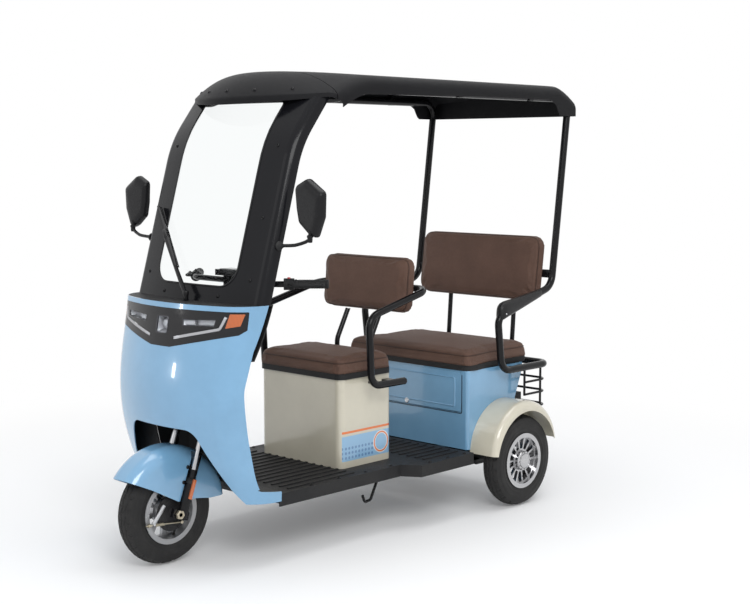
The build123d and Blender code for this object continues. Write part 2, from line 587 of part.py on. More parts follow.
def roof_body(inset):
    half, crown, low = ROOF_HALF - inset, ROOF_CROWN - inset, ROOF_CROWN - 245
    eave = ROOF_CROWN - ROOF_SAG - inset
    top = ThreePointArc((-half, eave), (0, crown), (half, eave))
    rest = Polyline((half, eave), (half, low), (-half, low), (-half, eave))
    face = make_face(Curve() + top + rest)
    face = fillet([v for v in face.vertices() if v.Y > low + 100], 45.0 - inset)
    tunnel = extrude(Plane.XZ.offset(-ROOF_REAR - 90) * face, amount=ROOF_REAR - roof_front + 270)
    profile = [(roof_front + inset, low), (roof_front + inset, ROOF_CROWN - 105), (roof_front + 150, crown - 33),
               (roof_front + 360, crown), (ROOF_REAR - 120, crown), (ROOF_REAR - inset, ROOF_CROWN - 55), (ROOF_REAR - inset, low)]
    tunnel = tunnel & side_prism(profile, -half - 5, half + 5, [0, 0, 300, 300, 160, 30, 0])
    lean = radians(ROOF_DOME_TILT)
    dome_y = roof_front + 50 + ROOF_DOME_R * sin(lean)
    dome_z = ROOF_CROWN - 10 - ROOF_DOME_R * cos(lean)
    dome = Rot(ROOF_DOME_TILT, 0, 0) * Rot(90, 0, 0) * Cylinder(ROOF_DOME_R - inset, 3 * ROOF_REAR)
    tunnel = tunnel & (Pos(0, dome_y, dome_z) * dome)
    corner_y = roof_front + 225 + inset
    front = ThreePointArc((-half, corner_y), (0, roof_front + inset), (half, corner_y))
    rear_side = ROOF_REAR - 6 - inset
    rear = ThreePointArc((half, rear_side), (0, ROOF_REAR - inset), (-half, rear_side))
    plan = make_face(Curve() + [front, Line((half, corner_y), (half, rear_side)), rear,
                                Line((-half, rear_side), (-half, corner_y))])
    plan = fillet([v for v in plan.vertices() if v.Y > corner_y + 100], 30.0 - inset)
    return tunnel & extrude(Plane.XY.offset(low - 100) * plan, amount=500)


roof = roof_body(0) - roof_body(ROOF_SHEET)
under_low = ROOF_CROWN - 345
under = [(roof_front - 80, under_low), (roof_front - 80, ROOF_CROWN - 135), (roof_front + 20, ROOF_CROWN - 127),
         (roof_front + 165, ROOF_EDGE), (ROOF_REAR - 170, ROOF_EDGE + 17), (ROOF_REAR - 110, ROOF_VALANCE),
         (ROOF_REAR + 90, ROOF_VALANCE), (ROOF_REAR + 90, under_low)]
roof -= side_prism(under, -500, 500, [0, 0, 30, 60, 30, 30, 0, 0])
roof_wide = ROOF_HALF + 102
cap = roof & block(-roof_wide, roof_wide, roof_front - 80, roof_seam - SEAM, under_low, ROOF_CROWN + 55)
panel = roof - block(-roof_wide, roof_wide, roof_front - 80, roof_seam, under_low, ROOF_CROWN + 55)
screen_room = screen_bar(-0.4) - block(-roof_wide, roof_wide, -200, ROOF_REAR, SCREEN_TOP_Z + 0.4, ROOF_CROWN + 155)
cap -= screen_room
save("roof_cap", max(cap.solids(), key=lambda s: s.volume))
save("roof_panel", max(panel.solids(), key=lambda s: s.volume))

# Rear frame: on each side one bent tube from the roof rail down the post, along the arm and to the basket rim
arm_low_y, arm_low_z = WHEELBASE - 88.0, REAR_BOX_TOP + 213.0
rail_in = SCREEN_HALF - SCREEN_SHEET - POST_DIA / 2 - 0.3
rail_z = SCREEN_TOP_Z - 10
frame_path = [(rail_in, screen_top_y + 54, rail_z), (rail_in, screen_top_y + 122, rail_z), (POST_X, screen_top_y + 260, RAIL_Z),
              (POST_X, POST_TOP_Y, RAIL_Z), (POST_X, POST_FOOT_Y - 5, POST_FOOT_Z - 25), (POST_X, arm_low_y - 6, arm_low_z), (POST_X, arm_low_y + 22, RIM_Z), (POST_X, BASKET_REAR - 60, RIM_Z)]
side_tube = tube(frame_path, POST_DIA, [80.0, 120.0, 60.0, 70.0, 45.0, 60.0])
side_tube -= screen_bar(-0.3) - screen_bar(SCREEN_SHEET + 0.3)
side_tube = max(side_tube.solids(), key=lambda s: s.volume)
save("rear_frame_left", side_tube)
save("rear_frame_right", mirror(side_tube, about=Plane.YZ))


# Cross pieces: the basket rim, the bar behind the backrest, the roof bows and the brackets on the rear box
def post_y(z):
    return POST_FOOT_Y + (z - POST_FOOT_Z) * tan(radians(POST_TILT))


post_r = POST_DIA / 2
rim_tube = tube([(POST_X, BASKET_REAR - 60, RIM_Z), (POST_X, BASKET_REAR, RIM_Z), (-POST_X, BASKET_REAR, RIM_Z),
                 (-POST_X, BASKET_REAR - 60, RIM_Z)], POST_DIA, 45.0)
bar_z = POST_FOOT_Z + 32.0
back_bar_dia = 22.0
back_bar = rod((-POST_X, post_y(bar_z), bar_z), (POST_X, post_y(bar_z), bar_z), back_bar_dia)
back_bar = back_bar - side_tube - mirror(side_tube, about=Plane.YZ)
brackets = []
for y in (WHEELBASE + 32, WHEELBASE + 110):
    tab = block(REAR_BOX_HALF, POST_X, y - 20, y + 20, RIM_Z - 4, RIM_Z + 4)
    brackets += both(tab - side_tube)
supports = []
support_x = 180.0
for side in (1, -1):
    foot = (side * support_x, BASKET_REAR, RIM_Z)
    head_pt = (side * support_x, post_y(bar_z), bar_z)
    strut = rod(foot, head_pt, 20.0) - rim_tube - rod((-POST_X, post_y(bar_z), bar_z),
                                                       (POST_X, post_y(bar_z), bar_z), back_bar_dia)
    supports.append(max(strut.solids(), key=lambda s: s.volume))
save("rear_cross_tubes", rim_tube, max(back_bar.solids(), key=lambda s: s.volume), *supports, *brackets)

bow_gap = 0.3


def bow_profile(inset):
    half, crown = ROOF_HALF - inset, ROOF_CROWN - inset
    eave = ROOF_CROWN - ROOF_SAG - inset
    top = ThreePointArc((-half, eave), (0, crown), (half, eave))
    rest = Polyline((half, eave), (half, RAIL_Z - post_r), (-half, RAIL_Z - post_r), (-half, eave))
    face = make_face(Curve() + top + rest)
    return fillet([v for v in face.vertices() if v.Y > RAIL_Z + 5], 45.0 - inset)


bows = []
bow_ring = bow_profile(ROOF_SHEET + bow_gap) - bow_profile(ROOF_SHEET + 16)
for y in (roof_front + 470, (roof_front + ROOF_REAR) / 2 + 55, ROOF_REAR - 310):
    bow = extrude(Plane.XZ.offset(-y - 14) * bow_ring, amount=28) - side_tube - mirror(side_tube, about=Plane.YZ)
    bows.append(max(bow.solids(), key=lambda s: s.volume))
save("roof_bows", *bows)

# Front seat: moulded box on the deck, battery inside, hinged pan with its cushion, and the arm loop
fx, fy0, fy1, fz1 = FRONT_BOX_HALF, FRONT_BOX_FRONT, FRONT_BOX_REAR, FRONT_BOX_TOP
bw = BOX_WALL


def rect(half, y0, y1):
    return [(-half, y0), (half, y0), (half, y1), (-half, y1)]


front_box = plan_prism(rect(fx, fy0, fy1), FLOOR_TOP, fz1, 28.0)
front_box -= plan_prism(rect(fx - bw, fy0 + bw, fy1 - bw), FLOOR_TOP + bw, fz1 + 5, 28.0 - bw)
save("front_seat_box", front_box)
save("battery_pack", block(-fx + 40, fx - 40, fy0 + 20, fy1 - 20, FLOOR_TOP + bw, FLOOR_TOP + 200))
pan_z0 = fz1 + PAN_GAP
pan_z1 = pan_z0 + PAN_HEIGHT
front_pan = plan_prism(rect(fx + 7, fy0 - 6, fy1 - 3), pan_z0, pan_z1, 34.0)
save("front_seat_pan", front_pan)
pad = plan_prism(rect(fx + 10, fy0 - 10, fy1 - 2), pan_z1, pan_z1 + FRONT_PAD_HEIGHT, 40.0)
pad = fillet(pad.edges().group_by(Axis.Z)[-1], 20.0)
save("front_seat_cushion", pad)


def backrest(half, low, high, y, tilt_deg, corner):
    face = make_face(FilletPolyline((-half, low), (half, low), (half, high), (-half, high), radius=corner, close=True))
    slab = extrude(Plane.XZ.offset(-BACK_THICK) * face, amount=BACK_THICK)
    slab = fillet(slab.edges().group_by(Axis.Y)[0], 16.0)
    mid = (low + high) / 2
    return Pos(0, y, mid) * Rot(-tilt_deg, 0, 0) * Pos(0, 0, -mid) * slab


front_tilt = 5.0
front_back = backrest(FRONT_BACK_HALF, FRONT_BACK_LOW, FRONT_BACK_HIGH, FRONT_BACK_Y, front_tilt, 45.0)
save("front_backrest", front_back)
arm_r = FRONT_ARM_DIA / 2
arm_z = FRONT_BOX_TOP - 25.0
loop_z = FRONT_BACK_LOW + 98.0
back_mid = (FRONT_BACK_LOW + FRONT_BACK_HIGH) / 2
back_face = FRONT_BACK_Y + BACK_THICK + (loop_z - back_mid) * tan(radians(front_tilt))
loop_y = back_face + arm_r + 1.0
loop_half = [(FRONT_ARM_X, FRONT_BOX_REAR - 13, arm_z), (FRONT_ARM_X, FRONT_BOX_FRONT + 92, arm_z),
             (FRONT_ARM_X, FRONT_BOX_FRONT + 78, FRONT_BACK_LOW + 16),
             (FRONT_ARM_X, loop_y, loop_z)]
loop = tube(loop_half + mirrored(loop_half), FRONT_ARM_DIA, [48.0, 60.0, 54.0, 54.0, 60.0, 48.0])
tabs = []
for y in (FRONT_BOX_REAR - 117, FRONT_BOX_REAR - 42):
    tabs += both(block(fx, FRONT_ARM_X, y - 18, y + 18, arm_z - 4, arm_z + 4) - loop)
stems = []
for x in (-90.0, 90.0):
    low_y = fy1 + 10.0
    seat_y = FRONT_BACK_Y + BACK_THICK / 2 - (back_mid - FRONT_BACK_LOW) * tan(radians(front_tilt))
    stem = tube([(x, low_y, FLOOR_TOP + 220), (x, low_y, FRONT_BACK_LOW - 120), (x, seat_y, FRONT_BACK_LOW + 10)], 20.0, 60.0)
    stem -= front_back
    stems.append(max(stem.solids(), key=lambda s: s.volume))
save("front_arm_loop", loop, *tabs, *stems)

# Rear seat: moulded box with a front hatch, hinged pan and cushion, backrest on the posts
rz0, rz1, rx, ry = RAIL_TOP, REAR_BOX_TOP, REAR_BOX_HALF, REAR_BOX_FRONT
back_top, back_high, back_mid_y, back_low = WHEELBASE + 132, WHEELBASE + 125, WHEELBASE + 74, WHEELBASE + 52
REAR_EDGE = [(back_top, rz1), (back_high, rz1 - 43), (back_mid_y, rz1 - 168), (back_low, rz0)]
rear_box = side_prism([(ry, rz0), (ry, rz1)] + REAR_EDGE, -rx, rx)
rear_box = fillet(rear_box.edges().filter_by(Axis.Z).group_by(Axis.Y)[0], 14.0)
cavity = [(ry + bw, rz0 + bw), (ry + bw, rz1 + 5), (back_top - bw, rz1 + 5), (back_high - bw, rz1 - 43),
          (back_mid_y - bw, rz1 - 168), (back_low - bw, rz0 + bw)]
rear_box -= side_prism(cavity, -rx + bw, rx - bw)
door = [(-HATCH_HALF, HATCH_LOW), (HATCH_HALF, HATCH_LOW), (HATCH_HALF, HATCH_HIGH), (-HATCH_HALF, HATCH_HIGH)]
rear_box -= front_prism(door, ry - 5, ry + bw + 1, 6.0)
hatch_gap, hinge_gap = 1.5, 0.3
leaf = [(x - hatch_gap * (1 if x > 0 else -1), HATCH_HIGH - hinge_gap if z == HATCH_HIGH else HATCH_LOW + 2 * hatch_gap)
        for x, z in door]
save("rear_seat_box", rear_box)
save("rear_hatch", front_prism(leaf, ry, ry + bw, 5.0))
rear_pan_z0 = rz1 + PAN_GAP
rear_pan_z1 = rear_pan_z0 + PAN_HEIGHT
pan_front, pan_rear = REAR_PAD_FRONT + 8, REAR_PAD_REAR - 4


def waisted(half, y0, y1):
    left = [(half, y0), (half, y0 + 60), (half - REAR_PAD_WAIST, y0 + 170), (half - REAR_PAD_WAIST, y1)]
    return left + mirrored(left)


pad_bends = [42.0, 60.0, 60.0, 42.0, 42.0, 60.0, 60.0, 42.0]
save("rear_seat_pan", plan_prism(waisted(REAR_PAD_HALF - 4, pan_front, pan_rear), rear_pan_z0, rear_pan_z1, pad_bends))
rear_pad = plan_prism(waisted(REAR_PAD_HALF, REAR_PAD_FRONT, REAR_PAD_REAR), rear_pan_z1,
                      rear_pan_z1 + REAR_PAD_HEIGHT, pad_bends)
rear_pad = fillet(rear_pad.edges().group_by(Axis.Z)[-1], 20.0)
save("rear_seat_cushion", rear_pad)
rear_mid = (REAR_BACK_LOW + REAR_BACK_HIGH) / 2
rear_back_y = post_y(rear_mid) - back_bar_dia / 2 - BACK_THICK - 0.6
save("rear_backrest", backrest(REAR_BACK_HALF, REAR_BACK_LOW, REAR_BACK_HIGH, rear_back_y, POST_TILT, 55.0))

# Armrest pads: tapered grips on the sloping arms
slope = ((POST_FOOT_Z - 25) - arm_low_z) / ((POST_FOOT_Y - 5) - (arm_low_y - 6))
pads = []
for side in (1, -1):
    y0, y1 = arm_low_y + 32, arm_low_y + 270
    z0 = arm_low_z + (y0 - arm_low_y + 6) * slope
    z1 = arm_low_z + (y1 - arm_low_y + 6) * slope
    pad_side = side_prism([(y0, z0 + 2), (y1, z1 + 2), (y1, z1 + 30), (y0, z0 + 24)], side * POST_X - 24,
                          side * POST_X + 24, 9.0)
    pads.append(max((pad_side - side_tube - mirror(side_tube, about=Plane.YZ)).solids(), key=lambda s: s.volume))
save("armrest_pads", *pads)

# Basket: four wire hoops, upright wires and a wire floor hung below the rim tube
basket = Part()
wire_x = POST_X - 4
hoop_front = WHEELBASE + 144
basket_low = RIM_Z - 231
hoop_rows = [
    # z, y where the side run starts
    (RIM_Z - 66, hoop_front - 50),
    (RIM_Z - 118, hoop_front - 50),
    (RIM_Z - 176, hoop_front + 20),
    (basket_low, hoop_front + 58),
]
for z, start in hoop_rows:
    half_hoop = [(wire_x, start, z), (wire_x, BASKET_REAR, z)]
    basket += tube(half_hoop + mirrored(half_hoop), WIRE_DIA, 42.0)
rim_low = RIM_Z - post_r
for x, y, drop in ((wire_x - 3, hoop_front - 46, 122), (wire_x - 3, hoop_front + 64, 235), (150.0, BASKET_REAR - 3, 235)):
    for side in (1, -1):
        basket += rod((side * x, y, RIM_Z - drop), (side * x, y, rim_low + 2), WIRE_DIA)
for k in range(-3, 4):
    basket += rod((k * 90.0, hoop_front, basket_low + 2), (k * 90.0, BASKET_REAR, basket_low + 2), WIRE_DIA - 2)
basket += rod((-300, hoop_front + 4, basket_low + 1), (300, hoop_front + 4, basket_low + 1), WIRE_DIA)
basket = basket - rim_tube - side_tube - mirror(side_tube, about=Plane.YZ)
save("rear_basket", max(basket.solids(), key=lambda s: s.volume))

# Tail panel: a black housing across the back of the rear box with a lamp at each end
tail_high, tail_low = rz1 - 128, rz1 - 201
tail = side_prism([(back_low, tail_high), (back_top, tail_high), (back_top, tail_low), (back_low, tail_low)], -rx + 4, rx - 4, 0)
tail -= side_prism([(ry - 5, rz0 - 5), (ry - 5, rz1)] + [(y + 0.3, z) for y, z in REAR_EDGE], -wide, wide)
tail_lamps = []
for side in (1, -1):
    lens = block(side * (rx - 68) - 50, side * (rx - 68) + 50, back_top - 4, back_top + 6, tail_low + 12, tail_high - 11)
    tail -= lens
    tail_lamps.append(lens)
save("tail_panel", max(tail.solids(), key=lambda s: s.volume))
save("tail_lamps", *tail_lamps)


# Rear fenders: rolled sheet arcs on the sides of the box
def rounded_arc(inset, x_in):
    r, out = REAR_FENDER_R - inset, REAR_FENDER_OUT - inset
    edge = 30.0 - inset
    profile = Curve() + [
        Line((x_in, 0), (out, 0)),
        Line((out, 0), (out, r - edge)),
        JernArc((out, r - edge), (0, 1), edge, 90),
        Line((out - edge, r), (x_in, r)),
        Line((x_in, r), (x_in, 0)),
    ]
    return revolve(make_face(profile), axis=Axis.X)


fender_in = REAR_BOX_HALF + 0.3
guard = rounded_arc(0, fender_in) - rounded_arc(REAR_FENDER_SHEET, fender_in + REAR_FENDER_SHEET)
guard -= Pos(0, 0, -REAR_LIP_DROP) * Rot(0, 90, 0) * Cylinder(REAR_FENDER_R - REAR_LIP, 1200)
reach = REAR_FENDER_R + 90
keep_arc = side_prism([(-reach, 12), (20 - REAR_FENDER_R, 8), (REAR_FENDER_R - 20, 28), (reach, 34), (reach, reach),
                       (-reach, reach)], 0, 2 * REAR_FENDER_OUT)
guard = Pos(0, arch_y, arch_z) * (guard & keep_arc)
save("rear_fender_left", max(guard.solids(), key=lambda s: s.volume))
save("rear_fender_right", max(mirror(guard, about=Plane.YZ).solids(), key=lambda s: s.volume))

# Rear axle: axle tube with a central drive case and motor, brake plates and the wheel spindles
spindle_end = HALF_TRACK + 28
plate_x = HALF_TRACK - 69.0
axle = Pos(0, WHEELBASE, AXLE_Z) * Rot(0, 90, 0) * Cylinder(AXLE_TUBE_DIA / 2, 2 * plate_x)
axle += Pos(0, WHEELBASE, AXLE_Z) * Rot(0, 90, 0) * Cylinder(AXLE_R, 2 * spindle_end)
axle += Pos(0, WHEELBASE, AXLE_Z) * Rot(0, 90, 0) * Cylinder(DIFF_DIA / 2, 120)
axle += Pos(40, WHEELBASE - 60, AXLE_Z - 8) * Box(50, 130, 90)
for side in (1, -1):
    axle += Pos(side * (plate_x + 3), WHEELBASE, AXLE_Z) * Rot(0, 90, 0) * Cylinder(64, 6)
motor = Pos(-12, WHEELBASE - 132, AXLE_Z - 14) * Rot(0, 90, 0) * Cylinder(MOTOR_DIA / 2, 150)
save("rear_axle", axle + motor)

# Leaf springs: two leaves a side under the axle, on hangers below the rails
leaf_z = AXLE_Z - AXLE_TUBE_DIA / 2
springs = []
eye_rows = [(WHEELBASE - 328, 8.0), (RAIL_REAR - 20, 8.0)]
for side in (1, -1):
    x0 = side * RAIL_X - LEAF_WIDTH / 2
    y0, y1 = eye_rows[0][0], eye_rows[1][0]
    top = ThreePointArc((y0, leaf_z + 6), (WHEELBASE, leaf_z), (y1, leaf_z + 4))
    low = ThreePointArc((y1, leaf_z + 4 - LEAF_THICK / 2), (WHEELBASE, leaf_z - LEAF_THICK / 2),
                        (y0, leaf_z + 6 - LEAF_THICK / 2))
    face = make_face(Curve() + [top, Line((y1, leaf_z + 4), (y1, leaf_z + 4 - LEAF_THICK / 2)), low,
                                Line((y0, leaf_z + 6 - LEAF_THICK / 2), (y0, leaf_z + 6))])
    spring = extrude(Plane.YZ.offset(x0) * face, amount=LEAF_WIDTH)
    spring += block(x0, x0 + LEAF_WIDTH, WHEELBASE - 190, WHEELBASE + 140, leaf_z - LEAF_THICK, leaf_z - LEAF_THICK / 2)
    spring += block(x0 - 2, x0 + LEAF_WIDTH + 2, WHEELBASE - 34, WHEELBASE + 34, leaf_z - LEAF_THICK - 8,
                    leaf_z - LEAF_THICK)
    for y, drop in eye_rows:
        spring += Pos(side * RAIL_X, y, leaf_z + 6) * Rot(0, 90, 0) * Cylinder(14, LEAF_WIDTH)
        spring += block(x0, x0 + LEAF_WIDTH, y - 16, y + 16, leaf_z + 10, RAIL_LOW)
    springs.append(spring - Pos(0, WHEELBASE, AXLE_Z) * Rot(0, 90, 0) * Cylinder(AXLE_TUBE_DIA / 2, 2 * plate_x))
save("leaf_springs", *springs)

# Stand hook: a bent rod under the left edge of the floor
hook = tube([(250, 832, RAIL_LOW), (250, 832, 190), (250, 796, 122), (250, 764, 118), (250, 752, 146)], 11.0,
            [20.0, 14.0, 12.0])
save("stand_hook", hook)

# Mirrors: tapered housings on bent stalks from the screen pillars, with glass to the rear
mirror_at = Pos(479, 262, 1262)
mirror_face = make_face(Polyline((-66, 76), (-10, 102), (66, 55), (63, -28), (30, -102), (-2, -88), (-50, -52), (-62, 0),
                                 close=True))
body = extrude(Plane.XZ.offset(-16) * mirror_face, amount=32)
body = fillet(body.edges().group_by(Axis.Y)[0], 9.0)
body -= extrude(Plane.XZ.offset(-30) * scale(mirror_face, 0.9), amount=18)
silver = mirror_at * extrude(Plane.XZ.offset(-15.5) * scale(mirror_face, 0.89), amount=3)
stalk = tube([(SCREEN_HALF, 236, 1132), (420, 236, 1136), (491, 250, 1158), (491, 250, 1192)], 12.0, [30.0, 18.0])
stalk = max((stalk - screen_bar(0)).solids(), key=lambda s: s.volume)
boot = Pos(SCREEN_HALF + 4, 236, 1132) * Rot(0, 90, 0) * Cylinder(13, 8) - screen_bar(0)
mirror_housings = both(mirror_at * body + stalk + boot)
mirror_glasses = both(silver)
save("mirrors", *mirror_housings)
save("mirror_glasses", *mirror_glasses)

# Wiper: a spindle through the cowl, an arm and a blade lying just off the glass
wiper = rod((18, 96, SHELL_TOP + 0.3), (18, 96, SHELL_TOP + 34), 16.0)
wiper += rod((18, 92, SHELL_TOP + 28), (-196, 168, 1156), 11.0)
wiper += rod((-90, 126, 1046), (-286, 212, 1252), 11.0)
save("wiper", wiper)
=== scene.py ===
import math
import bmesh
import bpy
from mathutils import Matrix, Vector
from mathutils.bvhtree import BVHTree


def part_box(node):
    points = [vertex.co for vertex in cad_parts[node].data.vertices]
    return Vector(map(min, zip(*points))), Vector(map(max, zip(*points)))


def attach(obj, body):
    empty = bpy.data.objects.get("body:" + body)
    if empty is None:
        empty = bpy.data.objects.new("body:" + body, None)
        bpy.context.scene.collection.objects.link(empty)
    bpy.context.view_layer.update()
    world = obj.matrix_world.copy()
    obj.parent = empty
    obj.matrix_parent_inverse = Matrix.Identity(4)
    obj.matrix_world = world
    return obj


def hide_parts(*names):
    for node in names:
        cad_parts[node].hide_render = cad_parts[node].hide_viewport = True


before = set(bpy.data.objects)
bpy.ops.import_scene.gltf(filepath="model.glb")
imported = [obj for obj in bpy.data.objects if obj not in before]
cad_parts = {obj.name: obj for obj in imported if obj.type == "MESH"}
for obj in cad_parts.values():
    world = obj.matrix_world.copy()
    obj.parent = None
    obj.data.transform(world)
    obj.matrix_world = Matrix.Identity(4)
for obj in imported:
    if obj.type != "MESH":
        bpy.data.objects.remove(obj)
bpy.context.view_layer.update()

# Studio: a pale floor under an even white surround, with three large soft lamps and a narrow one.
# The camera stands ahead and to the left of the vehicle, a little above seat height.
scene = bpy.context.scene
scene.view_settings.view_transform = "Standard"
WHITE = (1, 1, 1, 1)
FLOOR_HALF = 30.0


def put(tree, kind, values=None, **props):
    made = tree.nodes.new("ShaderNode" + kind)
    for key, value in props.items():
        setattr(made, key, value)
    for key, value in (values or {}).items():
        if isinstance(value, bpy.types.NodeSocket):
            tree.links.new(value, made.inputs[key])
        else:
            made.inputs[key].default_value = value
    return made


def calc(tree, operation, first, second):
    return put(tree, "Math", {0: first, 1: second}, operation=operation).outputs[0]


def direct_rays(tree):
    # one for rays that come straight from the camera, off a bright surface or through glass
    path = put(tree, "LightPath").outputs
    seen = path["Is Camera Ray"]
    for ray in ("Is Glossy Ray", "Is Transmission Ray"):
        seen = calc(tree, "MAXIMUM", seen, path[ray])
    return seen


def new_material(name, plain):
    made = bpy.data.materials.new(name)
    made.use_nodes = True
    shader = made.node_tree.nodes["Principled BSDF"]
    for label, value in plain.items():
        shader.inputs[label].default_value = value
    return made, made.node_tree, shader


world = bpy.data.worlds.new("studio_surround")
scene.world = world
world.use_nodes = True
sky = world.node_tree
sky.nodes.clear()
lighting = put(sky, "Background", {"Color": (0.95, 0.97, 1.0, 1), "Strength": 0.6})
backdrop = put(sky, "Background", {"Color": WHITE, "Strength": 1.0})
blend = put(sky, "MixShader", {0: direct_rays(sky), 1: lighting.outputs[0], 2: backdrop.outputs[0]})
put(sky, "OutputWorld", {0: blend.outputs[0]})

floor_mesh = bpy.data.meshes.new("studio_floor")
corners = [(x * FLOOR_HALF, y * FLOOR_HALF, 0) for x, y in ((-1, -1), (1, -1), (1, 1), (-1, 1))]
floor_mesh.from_pydata(corners, [], [(0, 1, 2, 3)])
studio_floor = bpy.data.objects.new("studio_floor", floor_mesh)
scene.collection.objects.link(studio_floor)
floor_look = {"Base Color": (0.86, 0.86, 0.86, 1), "Roughness": 0.9, "Specular IOR Level": 0.1,
              "Emission Color": WHITE, "Emission Strength": 0.12}
floor_mat, tree, shader = new_material("studio_floor", floor_look)
away = put(tree, "VectorMath", {0: put(tree, "TexCoord").outputs["Object"]}, operation="LENGTH")
far = put(tree, "MapRange", {0: away.outputs["Value"], 1: 1.3, 2: 3.2}, interpolation_type="SMOOTHSTEP")
far = calc(tree, "MULTIPLY", far.outputs[0], direct_rays(tree))
glow = put(tree, "Emission", {"Color": WHITE, "Strength": 1.0})
blend = put(tree, "MixShader", {0: far, 1: shader.outputs[0], 2: glow.outputs[0]})
tree.links.new(blend.outputs[0], tree.nodes["Material Output"].inputs["Surface"])
floor_mesh.materials.append(floor_mat)

LAMPS = [
    # name, place, aim, width, height, watts
    ("key_softbox", (4.6, -3.4, 4.4), (0.0, -0.2, 0.7), 3.2, 2.4, 165),
    ("nose_softbox", (-0.7, -5.2, 3.2), (0.0, -0.6, 0.6), 2.4, 2.4, 14),
    ("strip_softbox", (-2.9, -4.6, 0.85), (0.0, -0.8, 0.65), 0.2, 0.42, 6),
    ("top_softbox", (0.4, 0.6, 5.4), (0.0, 0.1, 0.8), 4.0, 4.0, 120),
]
for name, place, aim, width, height, watts in LAMPS:
    lamp = bpy.data.lights.new(name, "AREA")
    lamp.shape = "RECTANGLE"
    lamp.size, lamp.size_y, lamp.energy = width, height, watts
    holder = bpy.data.objects.new(name, lamp)
    holder.location = place
    holder.rotation_euler = (Vector(aim) - Vector(place)).to_track_quat("-Z", "Y").to_euler()
    scene.collection.objects.link(holder)

lens = bpy.data.cameras.new("photo_camera")
lens.sensor_width = 36.0
lens.lens = 65.36
camera = bpy.data.objects.new("photo_camera", lens)
camera.location = (3.78993, -3.77514, 1.44331)
camera.rotation_euler = Vector((-0.68382, 0.72164, -0.10783)).to_track_quat("-Z", "Y").to_euler()
scene.collection.objects.link(camera)
scene.camera = camera


# Chassis: welded rectangular steel tube with leaf springs, a solid axle and a bent stand rod.
# All of it is stoved black; the axle castings are a duller grey, with a film of road dust low down.
SKIN_INPUTS = [("Tint", "Color", (0.5, 0.5, 0.5, 1)), ("Dust Tint", "Color", (0.5, 0.48, 0.44, 1)),
               ("Rough", "Float", 0.4), ("Dust", "Float", 0.1), ("Grain Size", "Float", 300.0)]
SKIN_OUTPUTS = [("Colour", "Color"), ("Roughness", "Float"), ("Height", "Float")]


def skin_group(name):
    made = bpy.data.node_groups.new(name, "ShaderNodeTree")
    for label, kind, value in SKIN_INPUTS:
        socket = made.interface.new_socket(label, in_out="INPUT", socket_type="NodeSocket" + kind)
        socket.default_value = value
    for label, kind in SKIN_OUTPUTS:
        made.interface.new_socket(label, in_out="OUTPUT", socket_type="NodeSocket" + kind)
    return made, made.nodes.new("NodeGroupInput").outputs, made.nodes.new("NodeGroupOutput").inputs


def give(group, out, colour, rough, height):
    for label, socket in (("Colour", colour), ("Roughness", rough), ("Height", height)):
        group.links.new(socket, out[label])


def ramp(tree, value, low, high, to_low=0.0, to_high=1.0):
    return put(tree, "MapRange", {0: value, 1: low, 2: high, 3: to_low, 4: to_high}).outputs[0]


def mix(tree, share, under, over):
    return put(tree, "Mix", {0: share, 6: under, 7: over}, data_type="RGBA").outputs[2]


def noise(tree, where, scale, detail, rough=0.5):
    values = {"Vector": where, "Scale": scale, "Detail": detail, "Roughness": rough}
    return put(tree, "TexNoise", values).outputs[0]


# Coated skin: paint or moulded plastic whose tone wanders a little, dusty near the ground.
coated_skin, given, out = skin_group("coated_skin")
where = put(coated_skin, "TexCoord").outputs["Object"]
broad = noise(coated_skin, where, 5.0, 4.0, 0.6)
fine = noise(coated_skin, where, given["Grain Size"], 2.0)
level = put(coated_skin, "SeparateXYZ", {0: where}).outputs["Z"]
low = ramp(coated_skin, level, 0.75, 0.15, 0.15, 1.0)
film = calc(coated_skin, "MULTIPLY", low, ramp(coated_skin, broad, 0.42, 0.68))
film = calc(coated_skin, "MULTIPLY", film, given["Dust"])
shift = ramp(coated_skin, broad, 0.3, 0.7, 0.94, 1.06)
toned = put(coated_skin, "HueSaturation", {"Value": shift, "Color": given["Tint"]}).outputs[0]
rough = calc(coated_skin, "ADD", given["Rough"], ramp(coated_skin, fine, 0.3, 0.7, -0.03, 0.03))
rough = calc(coated_skin, "ADD", rough, film)
give(coated_skin, out, mix(coated_skin, film, toned, given["Dust Tint"]), rough, fine)


def dress(name, group, tint, rough, grain, depth, dust=0.1, plain=None, dust_tint=(0.5, 0.48, 0.44)):
    made, tree, shader = new_material(name, plain or {})
    values = {"Tint": (*tint, 1), "Dust Tint": (*dust_tint, 1), "Rough": rough, "Dust": dust,
              "Grain Size": grain}
    effect = put(tree, "Group", values, node_tree=group).outputs
    bump = put(tree, "Bump", {"Strength": 1.0, "Distance": depth, "Height": effect["Height"]})
    tree.links.new(effect["Colour"], shader.inputs["Base Color"])
    tree.links.new(effect["Roughness"], shader.inputs["Roughness"])
    tree.links.new(bump.outputs[0], shader.inputs["Normal"])
    return made


def coat(finish, *names):
    for name in names:
        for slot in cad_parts[name].material_slots:
            slot.material = finish


black_steel = dress("black_steel", coated_skin, (0.007, 0.007, 0.008), 0.2, 240.0, 0.0002, 0.05,
                    {"Specular IOR Level": 0.16, "Coat Weight": 0.12, "Coat Roughness": 0.06},
                    (0.05, 0.049, 0.046))
dark_cast = dress("dark_cast", coated_skin, (0.022, 0.022, 0.024), 0.5, 420.0, 0.0008, 0.3,
                  {"Metallic": 0.3, "Specular IOR Level": 0.25}, (0.09, 0.085, 0.08))
coat(black_steel, "chassis_frame", "leaf_springs", "stand_hook")
coat(dark_cast, "rear_axle")

